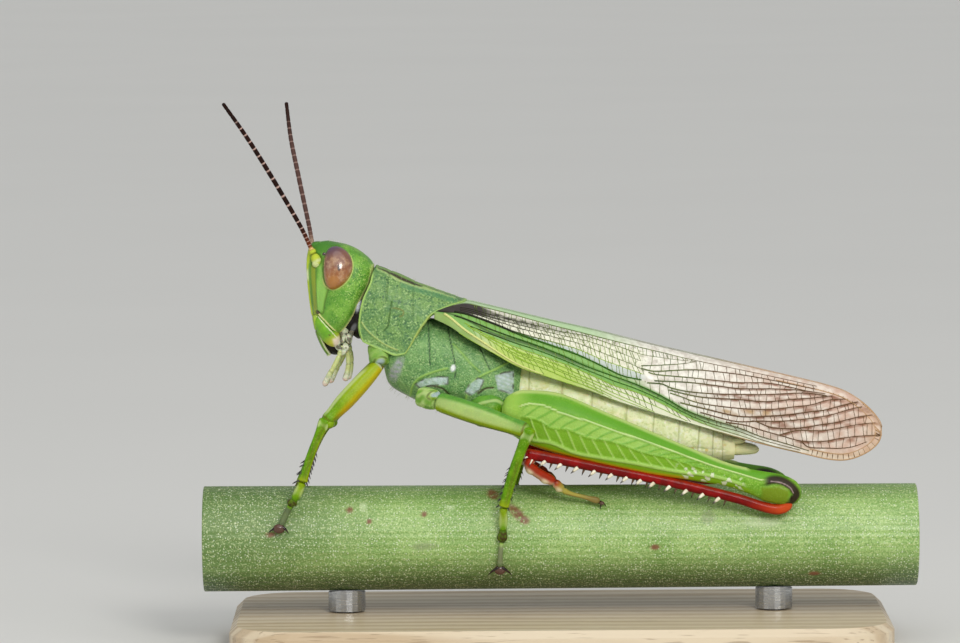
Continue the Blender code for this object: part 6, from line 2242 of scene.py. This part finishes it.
@dataclass
class Stem:
    """The cut length of rush that the animal holds."""

    half_length: float = 25.0
    height: float = STEM_HEIGHT
    head_radius: float = 3.7
    tail_radius: float = 3.58
    stains: Line = (  # x, z, half length, half height, lean
        (-3.0, 9.6, 1.15, 0.42, -42), (-2.6, 9.2, 0.6, 0.4, -20), (-4.7, 10.8, 0.55, 0.36, -20),
        (6.56, 7.25, 0.45, 0.28, 0), (17.7, 5.21, 0.55, 0.2, 0), (-20.2, 8.3, 0.5, 0.22, 0),
        (-14.7, 9.9, 0.3, 0.28, 0), (-13.35, 9.15, 0.25, 0.24, 0), (-9.5, 9.6, 0.3, 0.24, 0),
    )
    pale_stains: Line = ((-13.75, 10.1, 0.35, 0.4, 0), (14.0, 8.9, 1.8, 0.4, 0), (-7.7, 10.0, 0.4, 0.2, 0))
    grey_stains: Line = ((10.26, 9.25, 0.7, 0.55, 0), (-9.5, 7.4, 1.2, 0.4, 0))
    far_stain_step: float = 5.0  # how much further along the far side's stains stand
    rings: int = 300
    sides: int = 200
    ribs: int = 46
    rib_depth: float = 0.018
    rib_twist: float = 0.05
    face_rings: int = 5
    edge_places: Numbers = (0.9996, 0.9982)  # the broken edge round a cut face
    edge_sizes: Numbers = (0.985, 0.997)

    def rod(self) -> Skin:
        """A round rod with faint lengthwise ribs; the ends are cut flat and broken round.

        The rings over the last stretch at each end shrink to the middle of the cut face.
        """
        ends = np.append(np.ones(self.face_rings), self.edge_places)
        sizes = np.append(np.linspace(0.02, 0.955, self.face_rings), self.edge_sizes)
        along = np.concatenate((-ends, np.linspace(-0.996, 0.996, self.rings), ends[::-1]))[:, None]
        cut = np.concatenate((sizes, np.ones(self.rings), sizes[::-1]))[:, None]
        x = along * self.half_length
        radius = (self.head_radius + (self.tail_radius - self.head_radius) * (along + 1) / 2) * cut
        angle = np.linspace(0, TURN, self.sides, endpoint=False)
        wave = self.rib_depth * np.sin(self.ribs * angle + self.rib_twist * x)
        size = radius - 0.02 + wave * (cut > 0.99)
        skin = Skin(np.stack(
            np.broadcast_arrays(x, size * np.sin(angle), self.height + size * np.cos(angle)), axis=-1))
        x, y, z = skin.xyz
        near = ramp(y, 0.5, -0.5)

        def blots(rows: Line) -> Array:
            """Spots on the side towards the viewer, and their like on the far side."""
            return most(*(
                spot(way * x, z, (px + self.far_stain_step * (way < 0), pz), radii, lean)
                * (near if way > 0 else 1 - near)
                for px, pz, *radii, lean in rows for way in (1, -1)
            ))

        pith = (np.abs(along) >= 0.99999) & (cut < 0.96)
        skin.masks = {
            "top": ramp(z, self.height + 2.5, self.height + 3.4),
            # low: painted shade along the underside and towards the -X end
            "low": most(ramp(z, self.height - 0.2, self.height - 3.2), 0.6 * ramp(x, -9, -22)),
            "stain": blots(self.stains), "pale": blots(self.pale_stains), "grey": blots(self.grey_stains),
            "pith": pith.astype(float),
        }
        return skin

    def build(self) -> None:
        """Make the stem."""
        fit(self.rod(), "rush_stem", rush_skin(), "stem_green", "perch_stem")


def waxed_ash() -> bpy.types.Material:
    """Pale, waxed ash wood: growth lines along the base, short pores."""
    mix = Recipe("waxed_ash")
    rings = mix.add("ShaderNodeTexWave", {"wave_type": "BANDS", "bands_direction": "Y"}, {
        "Vector": mix.place(5.5, (9, 1, 1)), "Scale": 1.0,
        "Distortion": 5.5, "Detail": 3.0, "Detail Scale": 1.2,
    }, 1)
    pores = mix.noise(0.16, 1.0, (14, 1, 1)).band(0.62, 0.74)
    colour = mix.mix(rings.band(0.2, 0.85), (214, 196, 166), (190, 166, 132))
    colour = mix.mix(mix.noise(3.2, 2.0, (7, 1, 1)).band(0.3, 0.7, 0, 0.35), colour, (226, 212, 188))
    colour = mix.mix(pores * 0.5, colour, (140, 112, 82))
    return mix.finish(colour, rings.band(0, 1, 0.38, 0.5), rings * 0.4 + pores * -0.6, 0.03,
                      Coat_Weight=0.15, Coat_Roughness=0.25)


def satin_steel() -> bpy.types.Material:
    """Satin steel with fine turned lines round the rods."""
    mix = Recipe("satin_steel")
    lines = mix.noise(0.07, 2.0, (8, 8, 1))
    colour = mix.mix(lines.band(0.35, 0.65), (190, 192, 194), (170, 172, 176))
    return mix.finish(colour, lines.band(0.3, 0.7, 0.24, 0.36), lines, 0.004, Metallic=1.0)


def floor_paint() -> bpy.types.Material:
    """Plain pale paint."""
    mix = Recipe("floor_paint")
    return mix.finish(mix.mix(mix.noise(60.0), (226, 225, 221), (222, 221, 217)), 0.75)


@dataclass
class Studio:
    """Camera a little above the animal's side, a plain floor, and soft light."""

    aim: Point = (-5.52, 0.0, 22.79)
    distance: float = 420.0
    elevation: float = 5.0
    roll: float = 0.39
    lens: float = 225.0
    sensor: float = 36.0
    sight: tuple[float, float] = (0.02, 20.0)  # nearest and farthest place seen, in metres
    sky: float = 0.38
    sky_colour: tuple[float, ...] = (0.97, 0.99, 1.0, 1.0)
    panels: tuple[tuple, ...] = (  # name, place, size, watts, colour
        ("key_light", (90, -330, 190), 90, 0.52, (1.0, 0.985, 0.95)),
        ("fill_light", (-979, -480, 224), 780, 1.3, (0.95, 0.98, 1.0)),
    )
    sun_strength: float = 1.25
    sun_softness: float = 70.0
    sun_tilt: float = 40.0
    sun_heading: float = 14.0
    floor_size: float = 3200.0
    floor_points: int = 9

    def _stand(self, name: str, data: bpy.types.ID, place: Array, roll: float = 0) -> bpy.types.Object:
        """Put a camera or lamp at a place in millimetres, facing the aim; roll in degrees."""
        back = unit(place - np.asarray(self.aim))
        flat = unit(np.cross((0, 0, 1), back))
        upright = np.cross(back, flat)
        c, s = math.cos(math.radians(roll)), math.sin(math.radians(roll))
        axes = np.column_stack((flat * c - upright * s, upright * c + flat * s, back, place * MM))
        made = bpy.data.objects.new(name, data)
        made.matrix_world = Matrix([*axes.tolist(), (0, 0, 0, 1)])
        bpy.context.scene.collection.objects.link(made)
        return made

    def place_camera(self) -> None:
        """Stand the camera on its line of sight, level but for a slight roll."""
        data = bpy.data.cameras.new("studio_camera")
        data.lens, data.sensor_width = self.lens, self.sensor
        data.clip_start, data.clip_end = self.sight
        rise = math.radians(self.elevation)
        place = np.asarray(self.aim) + self.distance * np.array((0, -math.cos(rise), math.sin(rise)))
        bpy.context.scene.camera = self._stand("studio_camera", data, place, self.roll)

    def _panel(self, name: str, place: Numbers, size: float, watts: float, colour: Point) -> None:
        """One square area light that faces the animal."""
        data = bpy.data.lights.new(name, "AREA")
        data.shape, data.size, data.energy, data.color = "SQUARE", size * MM, watts, colour
        self._stand(name, data, np.asarray(place)).visible_camera = False

    def light(self) -> None:
        """A pale sky all round, broad daylight from above, a key beside the camera, a weak fill."""
        world = bpy.data.worlds.new("pale_sky")
        world.use_nodes = True
        sky = world.node_tree.nodes["Background"]
        sky.inputs["Color"].default_value = self.sky_colour
        sky.inputs["Strength"].default_value = self.sky
        bpy.context.scene.world = world
        bpy.context.scene.view_settings.view_transform = "Standard"
        for panel in self.panels:
            self._panel(*panel)
        data = bpy.data.lights.new("soft_daylight", "SUN")
        data.energy, data.angle = self.sun_strength, math.radians(self.sun_softness)
        daylight = bpy.data.objects.new("soft_daylight", data)
        daylight.rotation_euler = (math.radians(self.sun_tilt), 0, math.radians(self.sun_heading))
        bpy.context.scene.collection.objects.link(daylight)

    def lay_floor(self) -> None:
        """A plain pale sheet under the stand, its middle beneath the stem."""
        steps = np.linspace(-self.floor_size, self.floor_size, self.floor_points)
        x, y = np.meshgrid(steps, steps, indexing="ij")
        grid = Skin(np.stack((x, y, 0 * x), axis=-1), ring=False).shape()
        sheet = Shape(grid.points, grid.quads[:, ::-1], grid.tris)
        floor = bpy.data.objects.new("floor", sheet.mesh("floor"))
        floor.data.materials.append(floor_paint())
        bpy.context.scene.collection.objects.link(floor)


PARTS = (Head, Eyes, Feelers, Mouth, Neck, Pronotum, Thorax, Abdomen, Tegmina, WalkingLegs, HindLegs, Stem)


def main() -> None:
    """Build every piece in order."""
    logging.basicConfig(level=logging.INFO, format="%(message)s")
    studio = Studio()
    studio.place_camera()
    studio.light()
    studio.lay_floor()
    for part in PARTS:
        part().build()
    dress_nodes(waxed_ash(), "stand_base")
    dress_nodes(satin_steel(), "stand_rod_front", "stand_rod_rear")


if __name__ == "__main__":
    main()
